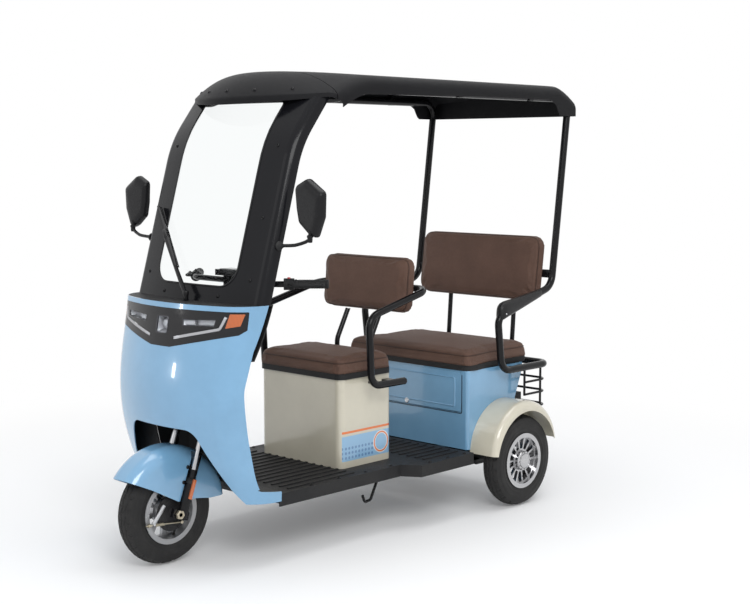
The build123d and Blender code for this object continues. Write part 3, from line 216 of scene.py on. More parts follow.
# Wheels: tubeless scooter tyres with a zigzag block tread on cast rims.
# Each tyre is one moulding with ribbed sidewalls; the front rim is painted silver and the rear pair plated.
AXLE_BACK = 861.0
AXLE_Z, TRACK, WHEELBASE = 188.0, 407.0, 1508.0
WHEELS = [
    # name, x, y, outer side, tyre node, body
    ("front", 0.0, 0.0, 1, "front_tyre", "front_wheel"),
    ("left", TRACK, WHEELBASE, 1, "rear_tyre_left", "rear_left_wheel"),
    ("right", -TRACK, WHEELBASE, -1, "rear_tyre_right", "rear_right_wheel"),
]
SIDEWALL = [
    # from the bead out to the edge of the tread: half width, radius
    (28.0, 103.0), (31.5, 108.0), (34.0, 114.0), (35.2, 116.5), (35.8, 119.0), (37.2, 124.0), (38.3, 129.0),
    (39.4, 130.5), (39.7, 133.0), (39.0, 135.0), (39.5, 142.0), (39.6, 148.0), (39.2, 155.0), (38.8, 157.0),
    (37.6, 159.0), (37.3, 164.0), (36.0, 170.0), (34.4, 175.4),
]
GROOVES = [
    # middle across the tread, swing of the zigzag, half width, shift round the wheel in blocks
    (0.0, 3.6, 2.1, 0.0), (16.5, 2.6, 1.9, 0.25), (-16.5, 2.6, 1.9, 0.25),
]
TREAD_HALF, TREAD_FOOT, TREAD_RISE = 34.0, 176.0, 12.0
TREAD_STEPS, TURN_STEPS, BLOCKS = 34, 288, 24
SHARP = math.radians(38)


def piece(name, verts, faces, finish, body, slot, smooth=True):
    mesh = bpy.data.meshes.new(name)
    mesh.from_pydata([tuple(v) for v in verts], [], faces)
    mesh.materials.append(finish)
    made = bpy.data.objects.new(name, mesh)
    scene.collection.objects.link(made)
    tidy = bmesh.new()
    tidy.from_mesh(mesh)
    bmesh.ops.recalc_face_normals(tidy, faces=tidy.faces)
    tidy.to_mesh(mesh)
    tidy.free()
    if smooth:
        mesh.shade_smooth()
        mesh.set_sharp_from_angle(angle=SHARP)
    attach(made, body)
    return made


def at(x, y, z):
    # millimetres, with y behind the front axle and z above the ground, to the shared frame
    return Vector((x / 1000, (y - AXLE_BACK) / 1000, z / 1000))


def loft(verts, count, closed=False):
    # walls between rings of count points; both ends are capped unless the last ring meets the first
    rings = len(verts) // count
    faces = []
    for ring in range(rings if closed else rings - 1):
        here, there = ring * count, (ring + 1) % rings * count
        for k in range(count):
            n = (k + 1) % count
            faces.append((here + k, here + n, there + n, there + k))
    if not closed:
        faces.append(tuple(range(count - 1, -1, -1)))
        faces.append(tuple(range(len(verts) - count, len(verts))))
    return verts, faces


rubber_skin, given, out = skin_group("rubber_skin")
where = put(rubber_skin, "TexCoord").outputs["Object"]
scuff = noise(rubber_skin, where, 14.0, 6.0, 0.7)
pores = noise(rubber_skin, where, given["Grain Size"], 3.0)
wear = calc(rubber_skin, "MULTIPLY", ramp(rubber_skin, scuff, 0.46, 0.72), given["Dust"])
rough = calc(rubber_skin, "ADD", given["Rough"], ramp(rubber_skin, pores, 0.3, 0.7, -0.06, 0.06))
give(rubber_skin, out, mix(rubber_skin, wear, given["Tint"], given["Dust Tint"]), rough, pores)
tyre_rubber = dress("tyre_rubber", rubber_skin, (0.019, 0.0185, 0.0185), 0.6, 500.0, 0.0004, 0.3,
                    {"Specular IOR Level": 0.25}, (0.055, 0.053, 0.05))


def wave(value):
    return 4.0 * abs(value - math.floor(value) - 0.5) - 1.0


def clamp(value):
    return min(1.0, max(0.0, value))


def groove(x, turn):
    # depth in millimetres cut below the crown at x across the tread and turn round the wheel
    step = turn * BLOCKS
    cut = 0.0
    for middle, swing, half, shift in GROOVES:
        gap = abs(x - middle - swing * wave(step + shift))
        cut = max(cut, 4.2 * clamp((half + 0.9 - gap) / 0.9))
    side = abs(x)
    slant = step + 0.3 * side / TREAD_HALF + (0.5 if x < 0 else 0.0)
    near = abs(slant - math.floor(slant) - 0.5) * 2.0
    if side > 17.0:
        cut = max(cut, 3.8 * clamp((0.26 - near) / 0.08))
    elif side > 3.0:
        cut = max(cut, 2.4 * clamp((0.17 - near) / 0.06))
    return cut


def treaded_tyre(name, centre, node, body):
    crown = []
    for k in range(TREAD_STEPS + 1):
        x = TREAD_HALF - 2 * TREAD_HALF * k / TREAD_STEPS
        crown.append((x, TREAD_FOOT + TREAD_RISE * (1.0 - (x / TREAD_HALF) ** 2)))
    outline = SIDEWALL + crown + [(-x, r) for x, r in reversed(SIDEWALL)]
    first, last = len(SIDEWALL), len(SIDEWALL) + len(crown)
    verts = []
    for step in range(TURN_STEPS):
        turn = step / TURN_STEPS
        c, s = math.cos(2 * math.pi * turn), math.sin(2 * math.pi * turn)
        for k, (x, r) in enumerate(outline):
            if first <= k < last:
                r -= groove(x, turn) * min(1.0, (36.0 - abs(x)) / 4.0)
            verts.append(centre + Vector((x, r * c, r * s)) / 1000)
    made = piece(name, *loft(verts, len(outline), True), tyre_rubber, body, "tyre_rubber")
    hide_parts(node)


for name, x, y, side, node, body in WHEELS:
    treaded_tyre(name + "_tyre_treaded", at(x, y, AXLE_Z), node, body)

rim_silver = dress("rim_silver", coated_skin, (0.36, 0.365, 0.38), 0.34, 300.0, 0.0002, 0.25,
                   {"Metallic": 0.9})
rim_plate = dress("rim_plate", coated_skin, (0.50, 0.50, 0.51), 0.2, 160.0, 0.0001, 0.08, {"Metallic": 1.0})
coat(rim_silver, "front_rim")
coat(rim_plate, "rear_rim_left", "rear_rim_right")


def lathe(profile, origin, axis, sides=32):
    # revolves points of radius and height, in millimetres, about an axis through origin, and caps both ends
    axis = Vector(axis).normalized()
    across = axis.orthogonal().normalized()
    up = axis.cross(across)
    verts = []
    for r, h in profile:
        for k in range(sides):
            a = 2 * math.pi * k / sides
            verts.append(origin + (axis * h + (across * math.cos(a) + up * math.sin(a)) * r) / 1000)
    return loft(verts, sides)


def joined(parts):
    verts, faces = [], []
    for more, rows in parts:
        base = len(verts)
        verts += more
        faces += [tuple(base + k for k in row) for row in rows]
    return verts, faces


CAP = [(39.0, 0.0), (40.0, 3.0), (38.0, 7.0), (33.0, 8.0), (31.5, 6.0), (30.0, 6.0), (28.5, 10.0),
       (22.0, 13.0), (12.0, 14.5), (3.0, 15.0)]
CAP_STUD = [(2.6, 0.0), (2.6, 5.0), (1.8, 6.4), (0.6, 6.8)]
NUT = [(8.0, 0.0), (8.0, 4.0), (6.6, 4.6), (6.6, 9.0), (5.4, 10.5), (2.0, 11.0)]
VALVE = [(5.5, 0.0), (5.5, 3.0), (3.4, 4.0), (3.4, 18.0), (4.2, 18.5), (4.2, 26.0), (3.0, 27.0), (1.0, 27.2)]
HUB_OUT, STUD_RING, NUT_RING = 34.0, 0.0345, 28.0
for name, x, y, side, node, body in WHEELS[1:]:
    hub = at(x + side * HUB_OUT, y, AXLE_Z)
    parts = [lathe(CAP, hub, (side, 0, 0), 48)]
    for k in range(12):
        a = math.pi * k / 6
        stud = hub + Vector((0.005 * side, STUD_RING * math.cos(a), STUD_RING * math.sin(a)))
        parts.append(lathe(CAP_STUD, stud, (side, 0, 0), 8))
    piece(name + "_hub_cap", *joined(parts), rim_plate, body, "rim_metal")
parts = []
for k in range(4):
    a = math.pi / 4 + math.pi * k / 2
    spot = at(HUB_OUT, NUT_RING * math.cos(a), AXLE_Z + NUT_RING * math.sin(a))
    parts.append(lathe(NUT, spot, (1, 0, 0), 6))
piece("front_hub_bolts", *joined(parts), rim_silver, "front_wheel", "rim_metal")
for name, x, y, side, node, body in WHEELS:
    foot = at(x + 12.0 * side, y + 30.0, AXLE_Z - 91.0)
    stem = lathe(VALVE, foot, (0.55 * side, -0.27, 0.79), 16)
    piece(name + "_valve", *stem, tyre_rubber, body, "tyre_rubber")

# Front fork: black slider legs on bright stanchions, with rubber seals and amber side reflectors.
# The blue fender is a deep moulding that bolts to lugs inside the legs.
chrome = dress("chrome", coated_skin, (0.46, 0.465, 0.48), 0.14, 120.0, 0.00005, 0.05, {"Metallic": 1.0})
zinc = dress("zinc", coated_skin, (0.52, 0.47, 0.36), 0.34, 300.0, 0.0002, 0.15, {"Metallic": 0.85})
seal_rubber = dress("seal_rubber", rubber_skin, (0.015, 0.015, 0.016), 0.5, 600.0, 0.0003, 0.12,
                    {"Specular IOR Level": 0.25}, (0.045, 0.044, 0.042))
blue_paint = dress("blue_paint", coated_skin, (0.182, 0.382, 0.588), 0.2, 55.0, 0.00012, 0.05,
                   {"Coat Weight": 0.9, "Coat Roughness": 0.03}, dust_tint=(0.42, 0.46, 0.48))
coat(black_steel, "front_fork")
coat(blue_paint, "front_fender")
SIDES = (("left", 1), ("right", -1))
RAKE, SETBACK, LEG_X, LEG_LEAD = math.radians(20.0), 49.0, 75.0, 25.4
STANCHION = [(14.4, 0.0), (14.4, 130.0)]
FORK_SEAL = [(18.2, -8.0), (18.6, 0.0), (17.6, 2.0), (18.4, 4.0), (17.2, 6.0), (18.0, 8.0), (16.2, 11.0),
             (14.6, 12.0)]
AXLE_NUT = [(17.0, 0.0), (17.0, 9.0), (15.4, 11.0), (10.0, 11.0), (9.0, 9.0), (2.0, 9.0)]
SCREW = [(7.0, 0.0), (7.0, 1.4), (6.0, 3.0), (4.4, 3.9), (3.2, 4.1), (2.6, 2.2), (0.4, 2.2)]
steer_axis = Vector((0, math.sin(RAKE), math.cos(RAKE)))


def fork_at(x, ahead, up):
    # along the steering axis from its foot: x across, ahead of the axis, up the axis
    c, s = math.cos(RAKE), math.sin(RAKE)
    return at(x, SETBACK - ahead * c + up * s, AXLE_Z + ahead * s + up * c)


for word, side in SIDES:
    foot = fork_at(side * LEG_X, LEG_LEAD, 146.0)
    piece(word + "_stanchion", *lathe(STANCHION, foot, steer_axis), chrome, "steering", "steel")
    foot = fork_at(side * LEG_X, LEG_LEAD, 103.5)
    piece(word + "_fork_seal", *lathe(FORK_SEAL, foot, steer_axis), seal_rubber, "steering", "tyre_rubber")
    foot = fork_at(side * 84.0, 46.0, -16.8)
    piece(word + "_axle_nut", *lathe(AXLE_NUT, foot, (side, 0, 0), 6), zinc, "steering", "steel", False)


def screws(name, places, finish, body, slot, size=1.0):
    profile = [(r * size, h * size) for r, h in SCREW]
    parts = [lathe(profile, place, axis, 16) for place, axis in places]
    return piece(name, *joined(parts), finish, body, slot)


places = [(fork_at(side * 70.0, 52.0, up), (side, 0, 0)) for word, side in SIDES for up in (95.0, 150.0)]
screws("fender_bolts", places, black_steel, "steering", "black_paint")

# Front brake: a cast drum plate held on the wheel pin, with a ring of bolts and a cam boss.
# A bright lever sits on the cam; a plated rod with a return spring pulls it back towards the leg.
PLATE = [(64.0, 0.0), (66.0, 1.5), (66.0, 6.5), (64.0, 8.0), (53.0, 8.0), (51.0, 9.8), (36.0, 9.8),
         (34.0, 8.0), (19.0, 8.0), (17.0, 10.0), (16.0, 17.0), (14.5, 18.0), (7.4, 18.0)]
CAM_BOSS = [(11.0, 0.0), (11.0, 7.0), (8.0, 9.0), (1.0, 9.0)]
PLATE_BOLT = [(4.0, 0.0), (4.0, 2.4), (2.6, 3.4), (0.6, 3.4)]
BOLT_RING = 58.0
LEVER = [(-7.0, -2.0), (-6.0, -2.6), (6.0, -2.6), (7.0, -2.0), (7.0, 2.0), (6.0, 2.6), (-6.0, 2.6),
         (-7.0, 2.0)]
LEVER_PIN = [(5.0, 0.0), (5.0, 12.0), (3.0, 13.0), (1.0, 13.0)]
ROD_NUT = [(7.0, 0.0), (7.0, 11.0), (5.0, 12.0), (2.8, 12.0)]
ROD_EYE = [(6.0, 0.0), (6.0, 7.0), (3.0, 8.0)]
COILS, COIL_STEPS, COIL_R, COIL_RUN = 8, 12, 5.0, 40.0
lever_metal = dress("lever_metal", coated_skin, (0.58, 0.59, 0.61), 0.28, 260.0, 0.0002, 0.05,
                    {"Metallic": 0.9})


def sweep(points, radius, sides=10, closed=False):
    # a tube of one radius in metres along points
    count = len(points)
    verts = []
    side_dir = None
    for k, point in enumerate(points):
        before = points[k - 1] if k or closed else point
        after = points[(k + 1) % count] if k + 1 < count or closed else point
        along = (after - before).normalized()
        if side_dir is None:
            side_dir = along.orthogonal().normalized()
        side_dir = (side_dir - along * side_dir.dot(along)).normalized()
        up = along.cross(side_dir)
        for j in range(sides):
            a = 2 * math.pi * j / sides
            verts.append(point + (side_dir * math.cos(a) + up * math.sin(a)) * radius)
    return loft(verts, sides, closed)


def bar(points, outline, up, sizes=None):
    # sweeps a closed outline of side and up offsets, in millimetres, along points
    verts = []
    for k, point in enumerate(points):
        along = (points[min(k + 1, len(points) - 1)] - points[max(k - 1, 0)]).normalized()
        side = along.cross(up).normalized()
        rise = side.cross(along)
        size = sizes[k] if sizes else 1.0
        verts += [point + (side * a + rise * b) * size / 1000 for a, b in outline]
    return loft(verts, len(outline))


parts = [lathe(PLATE, at(38, 0, AXLE_Z), (1, 0, 0), 56), lathe(CAM_BOSS, at(46, -49, 218), (1, 0, 0), 24)]
for k in range(8):
    a = math.pi * (k + 0.5) / 4
    spot = at(46, BOLT_RING * math.cos(a), AXLE_Z + BOLT_RING * math.sin(a))
    parts.append(lathe(PLATE_BOLT, spot, (1, 0, 0), 6))
plate = piece("drum_plate", *joined(parts), dark_cast, "steering", "dark_cast")
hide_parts("front_brake")
line = [at(57, -44, 224), at(57, -49, 218), at(57.5, -69, 194.5), at(57.5, -89, 171), at(57.5, -92, 167)]
parts = [bar(line, LEVER, Vector((1, 0, 0)), [0.9, 1.15, 1.0, 1.0, 0.8])]
parts.append(lathe(LEVER_PIN, at(48.0, -89, 164), (1, 0, 0), 16))
piece("brake_lever", *joined(parts), lever_metal, "steering", "steel")
parts = [sweep([at(53.5, -122, 164), at(53.2, -60, 158.5), at(52.8, 34, 149)], 0.0026)]
parts.append(lathe(ROD_NUT, at(53.5, -114, 163.4), (0, 0.99, -0.09), 6))
parts.append(lathe(ROD_EYE, at(50.0, 34, 149), (1, 0, 0), 16))
piece("brake_rod", *joined(parts), zinc, "steering", "steel")
spring = []
for k in range(COILS * COIL_STEPS + 1):
    a = 2 * math.pi * k / COIL_STEPS
    t = k / (COILS * COIL_STEPS)
    across, up = COIL_R * math.cos(a), COIL_R * math.sin(a)
    spring.append(at(53.4 + across, -84.0 + COIL_RUN * t, 160.6 - 3.6 * t + up))
piece("brake_return_spring", *sweep(spring, 0.001, 6), zinc, "steering", "steel")


# Lenses: moulded clear, amber and red covers with fine flutes on the back of the coloured ones.
# The lamp band round them is gloss black, set flush in the nose.
def lens_finish(name, tint, flute):
    made, tree, shader = new_material(name, {"Roughness": 0.12, "Coat Weight": 1.0, "Coat Roughness": 0.03})
    where = put(tree, "TexCoord").outputs["Object"]
    flutes = put(tree, "TexWave", {"Vector": where, "Scale": flute, "Distortion": 0.0, "Detail": 0.0},
                 wave_type="BANDS", bands_direction="X").outputs["Fac"]
    tone = ramp(tree, flutes, 0.0, 1.0, 0.82, 1.08)
    colour = put(tree, "HueSaturation", {"Value": tone, "Color": (*tint, 1)})
    bump = put(tree, "Bump", {"Strength": 0.5, "Distance": 0.001, "Height": flutes})
    tree.links.new(colour.outputs[0], shader.inputs["Base Color"])
    tree.links.new(bump.outputs[0], shader.inputs["Normal"])
    return made


def clear_finish(name, tint, rough, ior, shade):
    # shade is the tint of the light that passes, so that the cover throws no dark shadow
    plain = {"Base Color": (*tint, 1), "Roughness": rough, "IOR": ior, "Transmission Weight": 1.0}
    made, tree, shader = new_material(name, plain)
    shadow = put(tree, "LightPath").outputs["Is Shadow Ray"]
    clear = put(tree, "BsdfTransparent", {"Color": (*shade, 1)})
    blend = put(tree, "MixShader", {0: shadow, 1: shader.outputs[0], 2: clear.outputs[0]})
    tree.links.new(blend.outputs[0], tree.nodes["Material Output"].inputs["Surface"])
    return made


amber_lens = lens_finish("amber_lens", (0.52, 0.11, 0.012), 90.0)
red_lens = lens_finish("red_lens", (0.40, 0.012, 0.012), 110.0)
clear_lens = clear_finish("clear_lens", (0.93, 0.95, 0.97), 0.02, 1.06, (0.95, 0.96, 0.97))
gloss_black = dress("gloss_black", coated_skin, (0.010, 0.010, 0.0115), 0.12, 60.0, 0.0001, 0.04,
                    {"Specular IOR Level": 0.2, "Coat Weight": 0.3, "Coat Roughness": 0.03})
coat(amber_lens, "fork_reflectors", "indicators")
coat(clear_lens, "headlamps")
coat(red_lens, "tail_lamps")
coat(gloss_black, "lamp_band")

# Lamp insides: bright bowls behind the clear covers, a projector in the middle one and a block in the others.
# A pale daylight strip on each side bends up at its outer end; each cover has a thin dark trim round it.
nose_verts, nose_faces = [], []
for name in ("lamp_band", "headlamps", "indicators", "front_shell"):
    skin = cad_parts[name].data
    base = len(nose_verts)
    nose_verts += [v.co.copy() for v in skin.vertices]
    nose_faces += [tuple(base + k for k in f.vertices) for f in skin.polygons]
nose_tree = BVHTree.FromPolygons(nose_verts, nose_faces)


def on_nose(x, z, proud=0.0):
    # the nose's outer face straight behind x and z, in millimetres, lifted off it by proud
    place, normal, *_ = nose_tree.ray_cast(Vector((x / 1000, -2.0, z / 1000)), Vector((0, 1, 0)))
    if normal.y > 0:
        normal = -normal
    return place + normal * proud / 1000


def lamp_bowl(outline, depth, shrink):
    # a thin bowl behind a cover: its rim follows the outline and its floor is smaller
    count = len(outline)
    mid_x, mid_z = sum(x for x, z in outline) / count, sum(z for x, z in outline) / count
    rings = ((5.0, 0.985), (5.0 + depth * 0.45, 0.5 + shrink / 2), (5.0 + depth, shrink),
             (6.4 + depth, shrink + 0.03), (6.0 + depth * 0.45, 0.53 + shrink / 2), (5.0, 1.02))
    verts = []
    for back, size in rings:
        for x, z in outline:
            place = on_nose(mid_x + (x - mid_x) * size, mid_z + (z - mid_z) * size)
            verts.append(place + Vector((0, back / 1000, 0)))
    faces = []
    for ring in (0, 1, 3, 4, 5):
        here, there = ring * count, (ring + 1) % len(rings) * count
        for k in range(count):
            n = (k + 1) % count
            faces.append((here + k, here + n, there + n, there + k))
    faces.append(tuple(range(2 * count, 3 * count)))
    faces.append(tuple(range(4 * count - 1, 3 * count - 1, -1)))
    return verts, faces


def rounded_outline(points, radius):
    # a closed outline with each corner rounded
    line = []
    count = len(points)
    for k, point in enumerate(points):
        here = Vector(point)
        back = Vector(points[k - 1]) - here
        ahead = Vector(points[(k + 1) % count]) - here
        half = back.angle(ahead) / 2
        reach = min(radius / math.tan(half), back.length * 0.48, ahead.length * 0.48)
        start, end = here + back.normalized() * reach, here + ahead.normalized() * reach
        for j in range(9):
            t = j / 8
            line.append((1 - t) ** 2 * start + 2 * t * (1 - t) * here + t * t * end)
    return line


bowl_bright = dress("bowl_bright", coated_skin, (0.40, 0.40, 0.415), 0.45, 500.0, 0.0004, 0.0,
                    {"Metallic": 0.9})
lamp_white = dress("lamp_white", coated_skin, (0.40, 0.40, 0.415), 0.3, 500.0, 0.0003, 0.0)
trim_dark = dress("trim_dark", coated_skin, (0.10, 0.10, 0.11), 0.22, 300.0, 0.0001, 0.0, {"Metallic": 0.8})
MIDDLE = [(-30, 824), (30, 824), (30, 882), (-30, 882)]
MAIN = [(104, 856), (236, 862), (240, 883), (100, 878)]
PROJECTOR = [(19.0, 0.0), (19.0, 6.0), (17.0, 12.0), (12.0, 17.0), (6.0, 19.4), (0.6, 20.0)]
BLOCK = [(106.0, 860.0), (146.0, 861.6), (149.0, 876.4), (103.5, 874.6)]
BLOCK_BACK, BLOCK_DEEP = Vector((0, 0.0075, 0)), Vector((0, 0.009, 0))
STRIP = [(67, 811.8), (120, 823.2), (180, 836.0), (235, 847.8), (255, 852.4), (259.5, 857), (263.5, 866),
         (276, 894.5)]
STRIP_SECTION = ((-5.0, -0.4), (-4.2, 0.9), (0.0, 1.3), (4.2, 0.9), (5.0, -0.4))
line = rounded_outline(MIDDLE, 9.0)
bowls = [lamp_bowl([tuple(q) for q in line], 26.0, 0.66)]
trims = [sweep([on_nose(*q, 0.4) for q in line], 0.0016, 8, True)]
optics = [lathe(PROJECTOR, on_nose(0, 853) + Vector((0, 0.031, 0)), (0, -1, 0), 36)]
strips = []
for word, side in SIDES:
    line = rounded_outline([(side * x, z) for x, z in MAIN], 3.0)
    bowls.append(lamp_bowl([tuple(q) for q in line], 15.0, 0.8))
    trims.append(sweep([on_nose(*q, 0.3) for q in line], 0.0012, 8, True))
    block = [on_nose(side * x, z) + BLOCK_BACK for x, z in BLOCK]
    optics.append(loft(block + [q + BLOCK_DEEP for q in block], 4))
    verts = []
    for k, (x, z) in enumerate(STRIP):
        before, after = Vector(STRIP[max(k - 1, 0)]), Vector(STRIP[min(k + 1, len(STRIP) - 1)])
        along = (after - before).normalized()
        sink = -0.3 if k in (0, len(STRIP) - 1) else 1.0
        for w, h in STRIP_SECTION:
            verts.append(on_nose(side * (x - along.y * w), z + along.x * w, h if h < 0 else h * sink))
    strips.append(loft(verts, len(STRIP_SECTION)))
piece("lamp_bowls", *joined(bowls), bowl_bright, "chassis", "lens_clear")
piece("lamp_optics", *joined(optics), lamp_white, "chassis", "lens_clear")
piece("daylight_strips", *joined(strips), lamp_white, "chassis", "lens_clear")
piece("lamp_trims", *joined(trims), trim_dark, "chassis", "gloss_black")

# Front shell: one glossy blue moulding with a wheel arch below and the lamp band across its brow.
# Its rear edges roll on round the corner by a little more or less with height, over the black leg shield.
coat(blue_paint, "front_shell", "rear_seat_box", "rear_hatch")
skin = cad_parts["front_shell"].data
shell_tree = BVHTree.FromPolygons([v.co.copy() for v in skin.vertices],
                                  [tuple(f.vertices) for f in skin.polygons])
FLARE = [
    # height, and how far the rolled edge stands behind the plain edge there, in millimetres
    (290.0, 8.0), (320.0, 13.0), (355.0, 15.0), (400.0, 14.0), (463.0, 14.0), (520.0, 19.0), (575.0, 27.0),
    (625.0, 29.0), (680.0, 20.0), (730.0, 8.0), (775.0, 0.0),
]
EDGE_LOW, EDGE_STEP, EDGE_ROWS, EDGE_PASSES = 290.0, 5.0, 98, 60
CORNER, FLARE_WALL, FLARE_STEPS = 130.0, 4.0, 5


def eased(table, value):
    # a height-and-reach table read between its rows with a smooth step; none outside it
    for (a, low), (b, high) in zip(table, table[1:]):
        if a <= value <= b:
            t = (value - a) / (b - a)
            return low + (high - low) * t * t * (3 - 2 * t)
    return None


def shell_side(y, z):
    # x of the shell's outer side at y and z, or nothing where it has ended
    found = shell_tree.ray_cast(Vector((1.0, (y - AXLE_BACK) / 1000, z / 1000)), Vector((-1, 0, 0)))[0]
    return found.x * 1000 if found and found.x > 0.2 else None


edges = []
for k in range(EDGE_ROWS):
    z = EDGE_LOW + EDGE_STEP * k
    y = 200.0
    while shell_side(y, z) is None:
        y -= 0.5
    edges.append((z, y))
goal = [y + (eased(FLARE, z) or 0.0) for z, y in edges]
for step in range(EDGE_PASSES):
    inner = [(goal[k - 1] + goal[k] * 2 + goal[k + 1]) / 4 for k in range(1, len(goal) - 1)]
    goal = [goal[0]] + inner + [goal[-1]]
rows = []
for (z, y), reach in zip(edges, goal):
    first, second = [Vector((shell_side(y - back, z), y - back)) for back in (22.0, 4.0)]
    chord = second - first
    inward = Vector((-chord.y, chord.x)).normalized()
    heart = (first + second) / 2 + inward * math.sqrt(CORNER ** 2 - (chord.length / 2) ** 2)
    begin = math.atan2(second.y - heart.y, second.x - heart.x)
    roll = (4.0 + max(0.0, reach - y)) / CORNER
    turns = [begin + roll * j / FLARE_STEPS for j in range(FLARE_STEPS + 1)]
    for radius, angles in ((CORNER + 0.2, turns), (CORNER - FLARE_WALL, reversed(turns))):
        rows += [(heart.x + radius * math.cos(a), heart.y + radius * math.sin(a), z) for a in angles]
parts = [loft([at(side * x, y, z) for x, y, z in rows], 2 * (FLARE_STEPS + 1)) for word, side in SIDES]
piece("shell_rolled_edges", *joined(parts), blue_paint, "chassis", "blue_paint")

# Floor, dash, leg shield and column cover: grained black mouldings screwed to the frame.
# The ribs of the floor run lengthwise under the feet.
black_plastic = dress("black_plastic", coated_skin, (0.018, 0.018, 0.019), 0.5, 900.0, 0.0006, 0.2,
                      {"Specular IOR Level": 0.2}, (0.075, 0.073, 0.069))
coat(black_plastic, "floor_deck", "dash_panel", "leg_shield", "column_cover", "front_seat_pan",
     "rear_seat_pan", "tail_panel")
FLOOR_TOP = 258.0
FLOOR_SCREWS = [(316.0, 420.0), (316.0, 560.0), (316.0, 700.0), (316.0, 840.0),
                (382.0, 990.0), (382.0, 1100.0), (382.0, 1200.0)]
places = [(at(side * x, y, FLOOR_TOP), (0, 0, 1)) for word, side in SIDES for x, y in FLOOR_SCREWS]
screws("floor_screws", places, black_steel, "chassis", "black_paint")

# Windscreen: a clear pane, bent back at its top and bowed across, in a black surround of the same bent sheet.
# A rubber bead follows the opening and a row of screws holds the surround at its edges.
screen_glass = clear_finish("screen_glass", (0.95, 0.97, 0.97), 0.0, 1.12, (0.94, 0.96, 0.96))
coat(screen_glass, "windscreen_pane")
screen_black = dress("screen_black", coated_skin, (0.007, 0.0072, 0.009), 0.2, 90.0, 0.0001, 0.04,
                     {"Specular IOR Level": 0.14, "Coat Weight": 0.1, "Coat Roughness": 0.06},
                     (0.05, 0.049, 0.047))
coat(screen_black, "windscreen_frame")
BOW, FOOT_Y, FOOT_Z = 1700.0, 118.0, 930.0
KNEE_Z, KNEE_R = 1424.0, 450.0
TILT, TOP_TILT = math.radians(16.0), math.radians(38.0)
SCREEN_SCREWS = ((280, 1013), (280, 1226), (278, 1474), (150, 952))


def screen_point(x, z, proud=0.0):
    # a point on the outer face of the bent screen, at x across and z up, and the way out of it
    knee_y = FOOT_Y + (KNEE_Z - FOOT_Z) * math.tan(TILT)
    sag = BOW - math.sqrt(BOW * BOW - x * x)
    if z < KNEE_Z - sag * math.sin(TILT):
        y, lean = FOOT_Y + (z - FOOT_Z) * math.tan(TILT) + sag / math.cos(TILT), TILT
    else:
        low, high = TILT, TOP_TILT + 0.2
        for step in range(30):
            lean = (low + high) / 2
            height = KNEE_Z + KNEE_R * (math.sin(lean) - math.sin(TILT)) - sag * math.sin(lean)
            if height < z:
                low = lean
            else:
                high = lean
        y = knee_y + KNEE_R * (math.cos(TILT) - math.cos(lean)) + sag * math.cos(lean)
        if lean > TOP_TILT:
            bend_y = knee_y + KNEE_R * (math.cos(TILT) - math.cos(TOP_TILT))
            bend_z = KNEE_Z + KNEE_R * (math.sin(TOP_TILT) - math.sin(TILT))
            y, lean = bend_y + (z - bend_z) * math.tan(TOP_TILT) + sag / math.cos(TOP_TILT), TOP_TILT
    turn = math.asin(x / BOW)
    out = Vector((math.sin(turn), -math.cos(lean) * math.cos(turn), math.sin(lean) * math.cos(turn)))
    return at(x, y, z) + out * proud / 1000, out


def rounded_frame(half, low, high, low_radius, high_radius, steps):
    # an upright rectangle with rounded corners, as points of x and z
    line = []
    foot, head = low + low_radius, high - high_radius
    for way, z, r, start in ((1, foot, low_radius, 270), (1, head, high_radius, 0),
                             (-1, head, high_radius, 90), (-1, foot, low_radius, 180)):
        for k in range(steps + 1):
            a = math.radians(start + 90 * k / steps)
            line.append((way * (half - r) + r * math.cos(a), z + r * math.sin(a)))
    return line


places = [screen_point(side * x, z) for x, z in SCREEN_SCREWS for word, side in SIDES]
screws("screen_screws", places, black_steel, "chassis", "black_paint", 0.9)
edge = rounded_frame(218, 985, 1628, 70, 14, 8)
line = []
for k, (x, z) in enumerate(edge):
    x2, z2 = edge[(k + 1) % len(edge)]
    steps = max(1, int(math.hypot(x2 - x, z2 - z) / 40))
    for j in range(steps):
        t = j / steps
        line.append(screen_point(x + (x2 - x) * t, z + (z2 - z) * t, 0.6)[0])
piece("screen_bead", *sweep(line, 0.0034, 8, True), seal_rubber, "chassis", "grip_rubber")

# Wiper: a sprung steel arm on a spindle through the cowl, lying across the pane.
# A bowed carrier is clipped to the arm's end and holds the rubber blade against the glass.
glass_out = Vector((0, -0.961, 0.276))
SPINDLE = [(9.0, 0.0), (9.0, 20.0), (11.0, 21.0), (11.0, 31.0), (9.0, 34.5), (1.0, 35.0)]
WIPER_ARM = [(-7.0, -3.0), (-6.0, -4.0), (6.0, -4.0), (7.0, -3.0), (7.0, 2.0), (4.0, 4.0), (-4.0, 4.0),
             (-7.0, 2.0)]
CARRIER = [(-8.0, -4.6), (8.0, -4.6), (8.6, 0.0), (4.4, 5.2), (-4.4, 5.2), (-8.6, 0.0)]
CLIP = [(a * 1.4, b * 1.7) for a, b in CARRIER]
BLADE = [(-2.6, -3.6), (2.6, -3.6), (2.0, -9.0), (3.0, -11.0), (0.7, -19.0), (-0.7, -19.0), (-3.0, -11.0),
         (-2.0, -9.0)]
arm_foot, arm_tip = at(20, 91, 956), at(-196, 168, 1156)
blade_foot, blade_tip = at(-74, 123, 1046), at(-284, 212, 1252)


def along_blade(shares):
    return [blade_foot.lerp(blade_tip, t) for t in shares]


